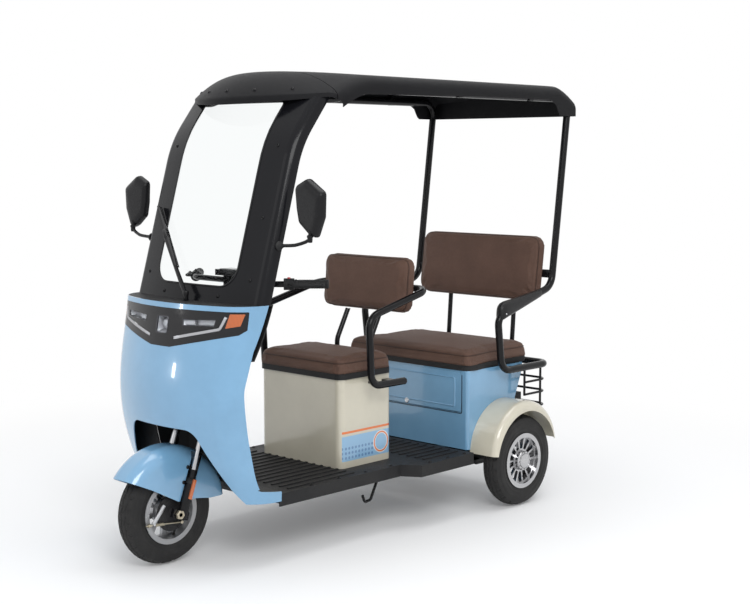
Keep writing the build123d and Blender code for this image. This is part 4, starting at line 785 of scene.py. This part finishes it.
parts = [lathe(SPINDLE, at(18, 96, 930.3), (0, 0, 1), 28)]
parts.append(bar([arm_foot.lerp(arm_tip, t) for t in (0.0, 0.1, 0.5, 0.9, 1.0)], WIPER_ARM, glass_out,
                 [1.0, 1.2, 1.0, 0.8, 0.5]))
parts.append(bar(along_blade([k / 10 for k in range(11)]), CARRIER, glass_out,
                 [0.55, 0.85, 0.95, 1.05, 1.15, 1.25, 1.15, 1.05, 0.95, 0.85, 0.55]))
parts.append(bar(along_blade((0.44, 0.47, 0.57, 0.6)), CLIP, glass_out, [0.7, 1.0, 1.0, 0.7]))
wiper = piece("wiper_arm", *joined(parts), black_steel, "chassis", "black_paint")
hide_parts("wiper")
blade = bar(along_blade([k / 10 for k in range(0, 11, 2)]), BLADE, glass_out)
piece("wiper_blade", *blade, seal_rubber, "chassis", "grip_rubber")

# Handlebar: a bent black tube with ribbed rubber grips, switch pods and levers.
# A flat instrument pod sits on the clamp with a dark display.
coat(black_steel, "handlebar")
coat(black_plastic, "hand_controls")
BAR_END = (357.0, 465.0, 985.0)
BAR_RUN = Vector((142.0, 137.0, 0)).normalized()
RIBS, RIB_PITCH = 16, 6.0
BUTTON = [(6.0, 0.0), (6.0, 3.6), (5.0, 5.0), (1.0, 5.4)]
ROCKER = [(5.0, 0.0), (5.0, 2.6), (3.6, 4.4), (0.8, 4.8)]
PANE = [(-27.0, -0.8), (27.0, -0.8), (27.0, 0.6), (25.6, 1.4), (-25.6, 1.4), (-27.0, 0.6)]
GRIP = [(4.0, 4.2), (13.0, 4.0), (17.0, 2.0), (17.0, -4.0), (15.6, -6.0)]
for k in range(RIBS):
    h = -9.0 - RIB_PITCH * k
    GRIP += [(15.2, h), (16.4, h - 1.0), (16.4, h - 3.6), (15.2, h - 4.8)]
GRIP += [(15.4, -108.0), (17.0, -110.0), (17.0, -117.6), (11.2, -117.8)]


def bar_end(side):
    # the tip of the bar on one side and the way it points there
    return at(side * BAR_END[0], BAR_END[1], BAR_END[2]), Vector((side * BAR_RUN.x, BAR_RUN.y, 0))


parts = [lathe(GRIP, *bar_end(side), 28) for word, side in SIDES]
grips = piece("ribbed_grips", *joined(parts), seal_rubber, "steering", "grip_rubber")
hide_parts("grips")
red_button = dress("red_button", coated_skin, (0.55, 0.02, 0.02), 0.3, 300.0, 0.0001, 0.0,
                   {"Coat Weight": 0.6})
for word, side in SIDES:
    tip, out_dir = bar_end(side)
    pod = tip - out_dir * 0.138
    finish, slot = (red_button, "lens_red") if side > 0 else (black_plastic, "black_plastic")
    spot = pod + Vector((0, 0, 0.0195))
    piece(word + "_start_button", *lathe(BUTTON, spot, (0, 0.15, 1), 20), finish, "steering", slot)
    spot = pod + Vector((0, 0.0195, 0.004))
    piece(word + "_rocker", *lathe(ROCKER, spot, (0, 1, 0.2), 6), black_plastic, "steering", "black_plastic")
display = bar([at(-47, 335, 1025.8), at(47, 335, 1025.8)], PANE, Vector((0, 0, 1)))
piece("display_pane", *display, gloss_black, "steering", "gloss_black")

# Mirrors: moulded black housings, domed to the front, on bent steel stalks from the screen pillars.
# Silvered glass lies in a shallow recess at the rear of each, and a rubber boot seals the foot of each stalk.
mirror_face = dress("mirror_face", coated_skin, (0.86, 0.87, 0.89), 0.02, 40.0, 0.0, 0.0, {"Metallic": 1.0})
coat(mirror_face, "mirror_glasses")
housing_black = dress("housing_black", coated_skin, (0.009, 0.009, 0.0102), 0.28, 700.0, 0.0003, 0.05,
                      {"Specular IOR Level": 0.2}, (0.05, 0.049, 0.047))
HOUSING = [(-66, 76), (-10, 102), (66, 55), (63, -28), (30, -102), (-2, -88), (-50, -52), (-62, 0)]
HOUSING_X, HOUSING_Y, HOUSING_Z = 479.0, 262.0, 1262.0
HOUSING_RINGS = [
    # inset from the outline, and how far behind the housing's middle
    (8.0, 12.2), (6.4, 12.6), (6.0, 15.0), (3.0, 16.0), (0.8, 14.6), (0.0, 11.0), (0.6, 3.0), (3.0, -5.0),
    (8.0, -10.4), (17.0, -14.0), (30.0, -15.8), (42.0, -16.0),
]
STALK = [(349, 236, 1132), (385, 236, 1134), (412, 236.3, 1135.6), (432, 237.5, 1137.6), (455, 242, 1143.5),
         (474, 246.2, 1150), (485, 248.8, 1156), (490, 249.8, 1163), (491, 250, 1172), (491, 250, 1188)]
KNUCKLE = [(6.2, -14.0), (8.0, -13.0), (9.0, -6.0), (9.0, 2.0), (10.5, 3.0), (10.5, 10.0), (8.0, 12.0),
           (6.0, 12.5)]
COLLAR = [(14.0, 0.0), (16.0, 1.0), (16.0, 5.0), (12.0, 8.0), (8.0, 20.0), (6.4, 21.0)]
parts = []
for word, side in SIDES:
    rim = rounded_outline([(side * x, z) for x, z in HOUSING], 20.0)
    heart = sum(rim, Vector((0, 0))) / len(rim)
    verts = []
    for inset, back in HOUSING_RINGS:
        for q in rim:
            flat = q + (heart - q).normalized() * min(inset, (heart - q).length * 0.8)
            verts.append(at(side * HOUSING_X + flat.x, HOUSING_Y + back, HOUSING_Z + flat.y))
    parts.append(loft(verts, len(rim)))
    parts.append(sweep([at(side * x, y, z) for x, y, z in STALK], 0.006, 16))
    parts.append(lathe(KNUCKLE, at(side * 491.0, 250.0, 1162.0), (0, 0, 1), 24))
housings = piece("mirror_housings", *joined(parts), housing_black, "chassis", "black_plastic")
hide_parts("mirrors")
for word, side in SIDES:
    boot = lathe(COLLAR, at(side * 351.0, 236.0, 1132.0), (side, 0, 0.06), 24)
    piece(word + "_mirror_boot", *boot, seal_rubber, "chassis", "grip_rubber")

# Seat boxes: cream and blue mouldings that stand on the floor, with a hinged pan on each.
# The cream box has a printed band low on each side: a stripe, a pale blue field with dots, and a plain ring.
CREAM = (0.64, 0.60, 0.485)
GLAZE = {"Coat Weight": 0.8, "Coat Roughness": 0.08}
PALE_BLUE, DOT_BLUE = (0.28, 0.50, 0.72), (0.13, 0.27, 0.50)
ORANGE, DISC_WHITE = (0.78, 0.18, 0.035), (0.78, 0.79, 0.77)
BOX_FLANK = 0.2185
DOT_PITCH, DOT_RADIUS = 0.018, 0.0056
RING_Y, RING_Z = 0.0228, 0.334
cream_paint = dress("cream_paint", coated_skin, CREAM, 0.2, 60.0, 0.00012, 0.08, GLAZE)
coat(cream_paint, "rear_fender_left", "rear_fender_right")
printed_box = dress("printed_box", coated_skin, CREAM, 0.2, 60.0, 0.00012, 0.08, GLAZE)
tree = printed_box.node_tree
shader = tree.nodes["Principled BSDF"]
base = shader.inputs["Base Color"].links[0].from_socket
spot = put(tree, "SeparateXYZ", {0: put(tree, "TexCoord").outputs["Object"]}).outputs
flank = put(tree, "Math", {0: spot["X"]}, operation="ABSOLUTE").outputs[0]
flank = calc(tree, "GREATER_THAN", flank, BOX_FLANK)


def between(tree, value, low, high):
    over, under = calc(tree, "GREATER_THAN", value, low), calc(tree, "LESS_THAN", value, high)
    return calc(tree, "MULTIPLY", over, under)


def from_point(tree, across, up, x, z):
    # distance of a place on the side from one point of it
    pair = put(tree, "CombineXYZ", {0: across, 1: up}).outputs[0]
    return put(tree, "VectorMath", {0: pair, 1: (x, z, 0.0)}, operation="DISTANCE").outputs["Value"]


dot_y = put(tree, "Math", {0: spot["Y"], 1: DOT_PITCH, 2: 0.0}, operation="WRAP").outputs[0]
dot_z = put(tree, "Math", {0: spot["Z"], 1: DOT_PITCH, 2: 0.0}, operation="WRAP").outputs[0]
dots = calc(tree, "LESS_THAN", from_point(tree, dot_y, dot_z, DOT_PITCH / 2, DOT_PITCH / 2), DOT_RADIUS)
patch = between(tree, spot["Z"], 0.288, 0.342)
patch = calc(tree, "MULTIPLY", patch, between(tree, spot["Y"], -0.198, -0.018))
radius = from_point(tree, spot["Y"], spot["Z"], RING_Y, RING_Z)
for mask, tint in ((between(tree, spot["Z"], 0.284, 0.380), PALE_BLUE),
                   (calc(tree, "MULTIPLY", dots, patch), DOT_BLUE),
                   (between(tree, spot["Z"], 0.390, 0.399), ORANGE),
                   (calc(tree, "LESS_THAN", radius, 0.044), DISC_WHITE),
                   (between(tree, radius, 0.035, 0.0405), ORANGE),
                   (calc(tree, "LESS_THAN", radius, 0.032), PALE_BLUE)):
    base = mix(tree, calc(tree, "MULTIPLY", flank, mask), base, (*tint, 1))
tree.links.new(base, shader.inputs["Base Color"])
coat(printed_box, "front_seat_box")
cell_case = dress("cell_case", coated_skin, (0.07, 0.07, 0.075), 0.55, 500.0, 0.0004, 0.1)
coat(cell_case, "battery_pack")

# Cushions and backrests: foam in stitched brown covers with a welt round the edge of each top panel.
# They are stuffed by a short cloth run from slightly smaller blanks, then grooved along the seam.
leather_grain, given, out = skin_group("leather_grain")
where = put(leather_grain, "TexCoord").outputs["Object"]
cells = put(leather_grain, "TexVoronoi", {"Vector": where, "Scale": given["Grain Size"]},
            feature="DISTANCE_TO_EDGE")
pebble = ramp(leather_grain, cells.outputs["Distance"], 0.0, 0.32)
cloud = noise(leather_grain, where, 7.0, 5.0, 0.6)
shift = ramp(leather_grain, cloud, 0.3, 0.7, 0.86, 1.14)
tone = calc(leather_grain, "MULTIPLY", shift, ramp(leather_grain, pebble, 0.0, 1.0, 0.82, 1.03))
toned = put(leather_grain, "HueSaturation", {"Value": tone, "Color": given["Tint"]}).outputs[0]
bloom = calc(leather_grain, "MULTIPLY", ramp(leather_grain, cloud, 0.5, 0.8), given["Dust"])
rough = calc(leather_grain, "ADD", given["Rough"], ramp(leather_grain, pebble, 0.0, 1.0, 0.1, -0.04))
give(leather_grain, out, mix(leather_grain, bloom, toned, given["Dust Tint"]), rough, pebble)
seat_cover = dress("seat_cover", leather_grain, (0.122, 0.066, 0.047), 0.56, 420.0, 0.0004, 0.1,
                   {"Specular IOR Level": 0.3, "Sheen Weight": 0.06, "Sheen Roughness": 0.5,
                    "Sheen Tint": (0.9, 0.7, 0.6, 1)}, (0.14, 0.085, 0.065))
welt_cover = dress("welt_cover", leather_grain, (0.066, 0.036, 0.026), 0.5, 520.0, 0.0003, 0.05,
                   {"Specular IOR Level": 0.3}, (0.11, 0.07, 0.055))


def backrest_frame(y, z, lean):
    # a pad stood upright, facing forward, and leaned back by so many degrees
    tilt, upright = [Matrix.Rotation(math.radians(a), 4, "X") for a in (-lean, 90)]
    return Matrix.Translation(at(0, y, z)) @ tilt @ Matrix.Translation((0, 0.048, 0)) @ upright


PADS = [
    # name, node, body, outline in millimetres, height, corner, crown, frame of the pad, seam below the top
    ("front_cushion", "front_seat_cushion", "front_seat_lid",
     [(-231, -146), (231, -146), (231, 146), (-231, 146)], 56.0, 42.0, 7.0,
     Matrix.Translation(at(0, 797.5, 621.3)), 17.0),
    ("bench_cushion", "rear_seat_cushion", "rear_seat_lid",
     [(-338, -215), (338, -215), (338, -158), (320, -48), (320, 215), (-320, 215), (-320, -48), (-338, -158)],
     56.0, 44.0, 8.0, Matrix.Translation(at(0, 1486.0, 595.3)), 17.0),
    ("driver_backrest", "front_backrest", "chassis",
     [(-237, -109), (237, -109), (237, 109), (-237, 109)], 42.0, 50.0, 6.0,
     backrest_frame(1012.0, 932.5, 5.0), 13.0),
    ("bench_backrest", "rear_backrest", "chassis",
     [(-333, -140), (333, -140), (333, 140), (-333, 140)], 42.0, 60.0, 6.0,
     backrest_frame(1727.9, 963.5, 7.3), 13.0),
]
PAD_RINGS = [
    # inset in metres, share of the height
    (0.0, 0.0), (0.0, 0.35), (0.0, 0.62), (0.0035, 0.8), (0.010, 0.93), (0.020, 0.985), (0.034, 1.0),
]
VOXEL, SWELL_MOST, SWELL_FRAMES = 0.006, 0.006, 20
SEAM_HALF, SEAM_DEPTH, WELT_RADIUS = 0.009, 0.0022, 0.0024
blanks = []
for name, node, body, outline, height, corner, crown, place, seam in PADS:
    line = rounded_outline([(x / 1000, y / 1000) for x, y in outline], corner / 1000)
    middle = sum((Vector(p) for p in line), Vector((0, 0))) / len(line)
    top = height / 1000
    shape = bmesh.new()
    rows = []
    for inset, share in PAD_RINGS:
        row = []
        for p in line:
            pull = (middle - p).normalized() * inset
            row.append(shape.verts.new((p.x + pull.x, p.y + pull.y, top * share)))
        rows.append(row)
    for a, b in zip(rows, rows[1:]):
        for k in range(len(line)):
            n = (k + 1) % len(line)
            shape.faces.new((a[k], a[n], b[n], b[k]))
    shape.faces.new(rows[-1])
    shape.faces.new(list(reversed(rows[0])))
    bmesh.ops.recalc_face_normals(shape, faces=shape.faces)
    mesh = bpy.data.meshes.new(name)
    shape.to_mesh(mesh)
    shape.free()
    pad = bpy.data.objects.new(name, mesh)
    scene.collection.objects.link(pad)
    block = pad.modifiers.new("block", "REMESH")
    block.mode = "VOXEL"
    block.voxel_size = VOXEL
    graph = bpy.context.evaluated_depsgraph_get()
    foam = bpy.data.meshes.new_from_object(pad.evaluated_get(graph))
    pad.modifiers.clear()
    pad.data = foam
    half_x = max(abs(p.x) for p in line)
    half_y = max(abs(p.y) for p in line)
    for v in foam.vertices:
        if v.co.z > top * 0.6:
            bulge = max(0.0, 1 - (v.co.x / half_x) ** 2) * max(0.0, 1 - (v.co.y / half_y) ** 2)
            v.co.z += crown / 1000 * bulge
    held = pad.vertex_groups.new(name="held")
    held.add([v.index for v in foam.vertices if v.co.z < 0.004], 1.0, "REPLACE")
    blanks.append((pad, body, node, place, top, seam / 1000))

rest = {}
for pad, *_ in blanks:
    rest[pad.name] = [v.co.copy() for v in pad.data.vertices]
    swell = pad.modifiers.new("swell", "CLOTH")
    cloth = swell.settings
    cloth.quality = 4
    cloth.mass = 0.4
    cloth.tension_stiffness = cloth.compression_stiffness = 18.0
    cloth.bending_stiffness = 2.0
    cloth.use_pressure = True
    cloth.uniform_pressure_force = 4.0
    cloth.effector_weights.gravity = 0.0
    cloth.vertex_group_mass = "held"
    swell.point_cache.frame_start, swell.point_cache.frame_end = 1, SWELL_FRAMES
for step in range(1, SWELL_FRAMES + 1):
    scene.frame_set(step)
graph = bpy.context.evaluated_depsgraph_get()
for pad, *_ in blanks:
    blown = pad.evaluated_get(graph).to_mesh()
    moved = [v.co.copy() for v in blown.vertices]
    pad.evaluated_get(graph).to_mesh_clear()
    pad.modifiers.clear()
    for v, start, end in zip(pad.data.vertices, rest[pad.name], moved):
        step = end - start
        if step.length > SWELL_MOST:
            step = step.normalized() * SWELL_MOST
        v.co = start + step
scene.frame_set(1)


def seam_loop(mesh, level):
    # the ordered outline of a mesh at one height
    cut = bmesh.new()
    cut.from_mesh(mesh)
    everything = cut.verts[:] + cut.edges[:] + cut.faces[:]
    found = bmesh.ops.bisect_plane(cut, geom=everything, plane_co=(0, 0, level), plane_no=(0, 0, 1))
    points = [e.co.copy() for e in found["geom_cut"] if isinstance(e, bmesh.types.BMVert)]
    cut.free()
    points.sort(key=lambda p: math.atan2(p.y, p.x))
    return points


for pad, body, node, place, top, seam in blanks:
    level = top - seam
    loop = seam_loop(pad.data, level)
    for v in pad.data.vertices:
        away = abs(v.co.z - level)
        if away < SEAM_HALF:
            flat = Vector((v.co.x, v.co.y, 0))
            v.co -= flat.normalized() * SEAM_DEPTH * math.cos(math.pi * away / (2 * SEAM_HALF))
    pad.data.materials.append(seat_cover)
    pad.data.shade_smooth()
    smooth = pad.modifiers.new("smooth", "SUBSURF")
    smooth.levels = smooth.render_levels = 1
    pad.data.transform(place)
    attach(pad, body)
    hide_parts(node)
    even = []
    for p in loop:
        if not even or (p - even[-1]).length > 0.008:
            even.append(p - Vector((p.x, p.y, 0)).normalized() * 0.0012)
    even = [(even[k - 1] + even[k] * 2 + even[(k + 1) % len(even)]) / 4 for k in range(len(even))]
    cord = sweep([place @ p for p in even], WELT_RADIUS, 8, True)
    welt = piece(pad.name + "_welt", *cord, welt_cover, body, "seat_cover")

# Arm loop, posts, cross tubes and basket: bent black steel tube and welded wire.
# The arms of the bench have moulded rubber sleeves; open tube ends have plastic plugs.
coat(black_steel, "front_arm_loop", "rear_frame_left", "rear_frame_right", "rear_cross_tubes", "rear_basket",
     "roof_bows")
SLEEVE = [
    # y, middle z, half width, above the middle, below it
    (1419.0, 800.0, 4.0, 14.0, 12.0), (1421.0, 797.0, 12.0, 30.0, 17.0), (1427.0, 790.0, 19.0, 46.0, 17.0),
    (1438.0, 791.0, 22.5, 52.0, 17.5), (1455.0, 797.6, 24.0, 50.0, 17.5), (1480.0, 804.6, 24.0, 46.0, 17.5),
    (1520.0, 815.9, 23.5, 39.0, 17.0), (1570.0, 830.0, 22.0, 32.0, 17.0), (1620.0, 844.0, 20.0, 25.5, 16.6),
    (1660.0, 855.3, 18.0, 20.0, 16.3), (1688.0, 863.2, 16.4, 17.0, 16.2), (1692.0, 864.3, 15.6, 15.8, 15.6),
]
SLEEVE_X, SLEEVE_SIDES, SLEEVE_SQUARE = 376.0, 28, 0.8
LUG = [(-14.0, -6.0), (14.0, -6.0), (14.0, 6.0), (-14.0, 6.0)]
PLUG = [(13.9, -1.0), (13.9, 2.0), (12.0, 4.5), (4.0, 5.5), (1.0, 5.6)]
parts, places, lugs = [], [], []
for word, side in SIDES:
    verts = []
    for y, mid, half, above, below in SLEEVE:
        for k in range(SLEEVE_SIDES):
            c, s = math.cos(2 * math.pi * k / SLEEVE_SIDES), math.sin(2 * math.pi * k / SLEEVE_SIDES)
            x = half * math.copysign(abs(c) ** SLEEVE_SQUARE, c)
            z = (above if s > 0 else below) * math.copysign(abs(s) ** SLEEVE_SQUARE, s)
            verts.append(at(side * SLEEVE_X + x, y, mid + z))
    parts.append(loft(verts, SLEEVE_SIDES))
    places.append((at(side * 398.6, 1442.0, 798.0), (side, 0, 0)))
    line = [at(side * 296.0, 1778.6, 936.0), at(side * 363.0, 1782.0, 936.0)]
    lugs.append(bar(line, LUG, Vector((0, 1, 0))))
sleeve_black = dress("sleeve_black", rubber_skin, (0.010, 0.010, 0.011), 0.3, 700.0, 0.0004, 0.1,
                     {"Specular IOR Level": 0.3}, (0.04, 0.039, 0.037))
sleeves = piece("arm_sleeves", *joined(parts), sleeve_black, "chassis", "grip_rubber")
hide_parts("armrest_pads")
screws("sleeve_screws", places, lever_metal, "chassis", "steel", 0.55)
piece("backrest_lugs", *joined(lugs), black_steel, "chassis", "black_paint", False)
for word, side in SIDES:
    plug = lathe(PLUG, at(side * 298.0, 934.0, 574.0), (0, 1, 0), 24)
    piece(word + "_tube_plug", *plug, black_plastic, "chassis", "black_plastic")

# Rear box: the blue moulding under the bench, with a hatch in its front that swings up on its upper edge.
# The hatch has a raised bead inside its edge and a round lock. A dark rubber bead round three sides of the
# opening is painted shade: it stands for the shadow in the gap round the hatch.
# the second and third values place the dark bead of painted shade that stands for the hatch gap's shadow
BEAD_Y, GAP_SHADE_Y, GAP_SHADE_TOP = 1281.0, 1280.6, 0.556
LOCK = [(11.0, 0.0), (11.0, 2.0), (9.5, 3.4), (8.0, 3.4), (7.4, 2.6), (1.0, 2.6)]
line = [at(x, BEAD_Y, z) for x, z in rounded_frame(262, 424, 541, 10, 10, 4)]
piece("hatch_bead", *sweep(line, 0.003, 8, True), blue_paint, "rear_hatch_door", "blue_paint")
# painted shade: a dark rubber bead just outside the hatch on three sides, laid where the gap round the hatch
# shows only shadow
line = [at(x, GAP_SHADE_Y, z) for x, z in rounded_frame(300, 397, 562, 7, 7, 4)]
line = [q for q in line if q.z < GAP_SHADE_TOP]
line.sort(key=lambda q: math.atan2(q.x, 0.47 - q.z))
piece("hatch_gap_shade_bead", *sweep(line, 0.0015, 8), seal_rubber, "chassis", "grip_rubber")
lock = lathe(LOCK, at(0, BEAD_Y, 416.0), (0, -1, 0), 28)
piece("hatch_lock", *lock, lever_metal, "rear_hatch_door", "steel")

# Canopy: a grained black roof of two thin mouldings on bows, its bowed front rolled down over the screen.
# The front cap is held by five screws along its nose; the rear edge turns down as a deeper valance.
roof_skin = dress("roof_skin", coated_skin, (0.009, 0.009, 0.0103), 0.46, 1100.0, 0.0006, 0.08,
                  {"Specular IOR Level": 0.1}, (0.04, 0.039, 0.038))
ROOF_FRONT, ROOF_REAR = 280.2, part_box("roof_panel")[1][1] * 1000 + AXLE_BACK
ROOF_LENGTH, ROOF_SEAM = ROOF_REAR - ROOF_FRONT, ROOF_FRONT + 210.0
CROWN, ROOF_HALF, CROWN_DROP = 1745.0, 398.0, 23.0
EAVE_TURN, NOSE_BOW, NOSE_ROLL, TAIL_ROLL, TAIL_DROP = 40.0, 225.0, 200.0, 120.0, 55.0
ROOF_WALL, ROOF_SPANS = 0.004, 72
UNDER = [
    # behind the front, and how far below the crown the lower edge hangs there
    (-200.0, 127.0), (165.0, 89.0), (ROOF_LENGTH - 170.0, 72.0), (ROOF_LENGTH - 110.0, 142.0),
    (ROOF_LENGTH + 50.0, 142.0),
]


def nose_line(x):
    return ROOF_FRONT + NOSE_BOW * (x / ROOF_HALF) ** 2


def roof_top(x, y):
    # height of the outer skin: a shallow crown, rolled down at the nose, the eaves and the tail
    share = (x / ROOF_HALF) ** 2
    drop = CROWN_DROP * share
    drop += (105.0 - 45.0 * share) * max(0.0, 1.0 - (y - nose_line(x)) / NOSE_ROLL) ** 2
    drop += TAIL_DROP * max(0.0, (y - ROOF_REAR + TAIL_ROLL) / TAIL_ROLL) ** 1.5
    turn = max(0.0, EAVE_TURN - ROOF_HALF + abs(x))
    drop += EAVE_TURN - math.sqrt(max(0.0, EAVE_TURN ** 2 - turn ** 2))
    return CROWN - drop


def roof_lip(x, y):
    # height of the lower edge
    edge = roof_top(x, y) - 20.0 + 6.0 * (x / ROOF_HALF) ** 2
    hang = eased(UNDER, y - ROOF_FRONT)
    if y < ROOF_SEAM or hang is None:
        return edge
    return min(edge, CROWN - hang)


def roof_sheet(name, node, half, first, last, steps):
    # first and last give the sheet's ends at x; its rim is turned down and it is thickened inward
    shape = bmesh.new()
    rows = []
    for k in range(ROOF_SPANS + 1):
        x = half * math.sin(math.pi / 2 * (k / (ROOF_SPANS / 2) - 1))
        y0, y1 = first(x), last(x)
        rows.append([shape.verts.new((x, y0 + (y1 - y0) * t, 0)) for t in steps])
    for a, b in zip(rows, rows[1:]):
        for k in range(len(steps) - 1):
            shape.faces.new((a[k], b[k], b[k + 1], a[k + 1]))
    bmesh.ops.remove_doubles(shape, verts=shape.verts[:], dist=0.01)
    seam = [v for v in shape.verts if abs(v.co.y - ROOF_SEAM) < 1.6]
    rim = [e for e in shape.edges if e.is_boundary and not all(v in seam for v in e.verts)]
    edge = bmesh.ops.extrude_edge_only(shape, edges=rim)["geom"]
    skirt = {v for v in edge if isinstance(v, bmesh.types.BMVert)}
    for v in shape.verts:
        x, y = v.co.x, v.co.y
        v.co = at(x, y, roof_lip(x, y) if v in skirt else roof_top(x, y))
    bmesh.ops.recalc_face_normals(shape, faces=shape.faces[:])
    top = max(shape.faces, key=lambda f: f.calc_center_median().z)
    if top.normal.z < 0:
        bmesh.ops.reverse_faces(shape, faces=shape.faces[:])
    mesh = bpy.data.meshes.new(name)
    shape.to_mesh(mesh)
    shape.free()
    made = bpy.data.objects.new(name, mesh)
    scene.collection.objects.link(made)
    thick = made.modifiers.new("thick", "SOLIDIFY")
    thick.thickness, thick.offset = ROOF_WALL, -1.0
    graph = bpy.context.evaluated_depsgraph_get()
    full = bpy.data.meshes.new_from_object(made.evaluated_get(graph))
    made.modifiers.clear()
    made.data = full
    full.materials.clear()
    full.materials.append(roof_skin)
    full.shade_smooth()
    full.set_sharp_from_angle(angle=math.radians(50))
    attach(made, "chassis")
    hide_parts(node)


cap_half = ROOF_HALF * math.sqrt(209.0 / NOSE_BOW)
cap_steps = [k / 20 for k in range(21)]
roof_sheet("roof_nose", "roof_cap", cap_half, nose_line, lambda x: ROOF_SEAM - 1.0, cap_steps)
front_steps, middle_steps = [k / 40 for k in range(12)], [0.275 + 0.06 * k for k in range(1, 11)]
panel_steps = front_steps + middle_steps + [0.9 + k / 120 for k in range(13)]
roof_sheet("roof_main", "roof_panel", ROOF_HALF, lambda x: max(ROOF_SEAM + 1.0, nose_line(x)),
           lambda x: ROOF_REAR - 6.0 * (x / ROOF_HALF) ** 2, panel_steps)
places = []
for x in (-250.0, -125.0, 0.0, 125.0, 250.0):
    y = nose_line(x) + 30.0
    run = Vector((2.0, 0.0, roof_top(x + 1, y) - roof_top(x - 1, y)))
    climb = Vector((0.0, 2.0, roof_top(x, y + 1) - roof_top(x, y - 1)))
    places.append((at(x, y, roof_top(x, y)), run.cross(climb).normalized()))
screws("roof_screws", places, black_steel, "chassis", "black_paint", 0.9)
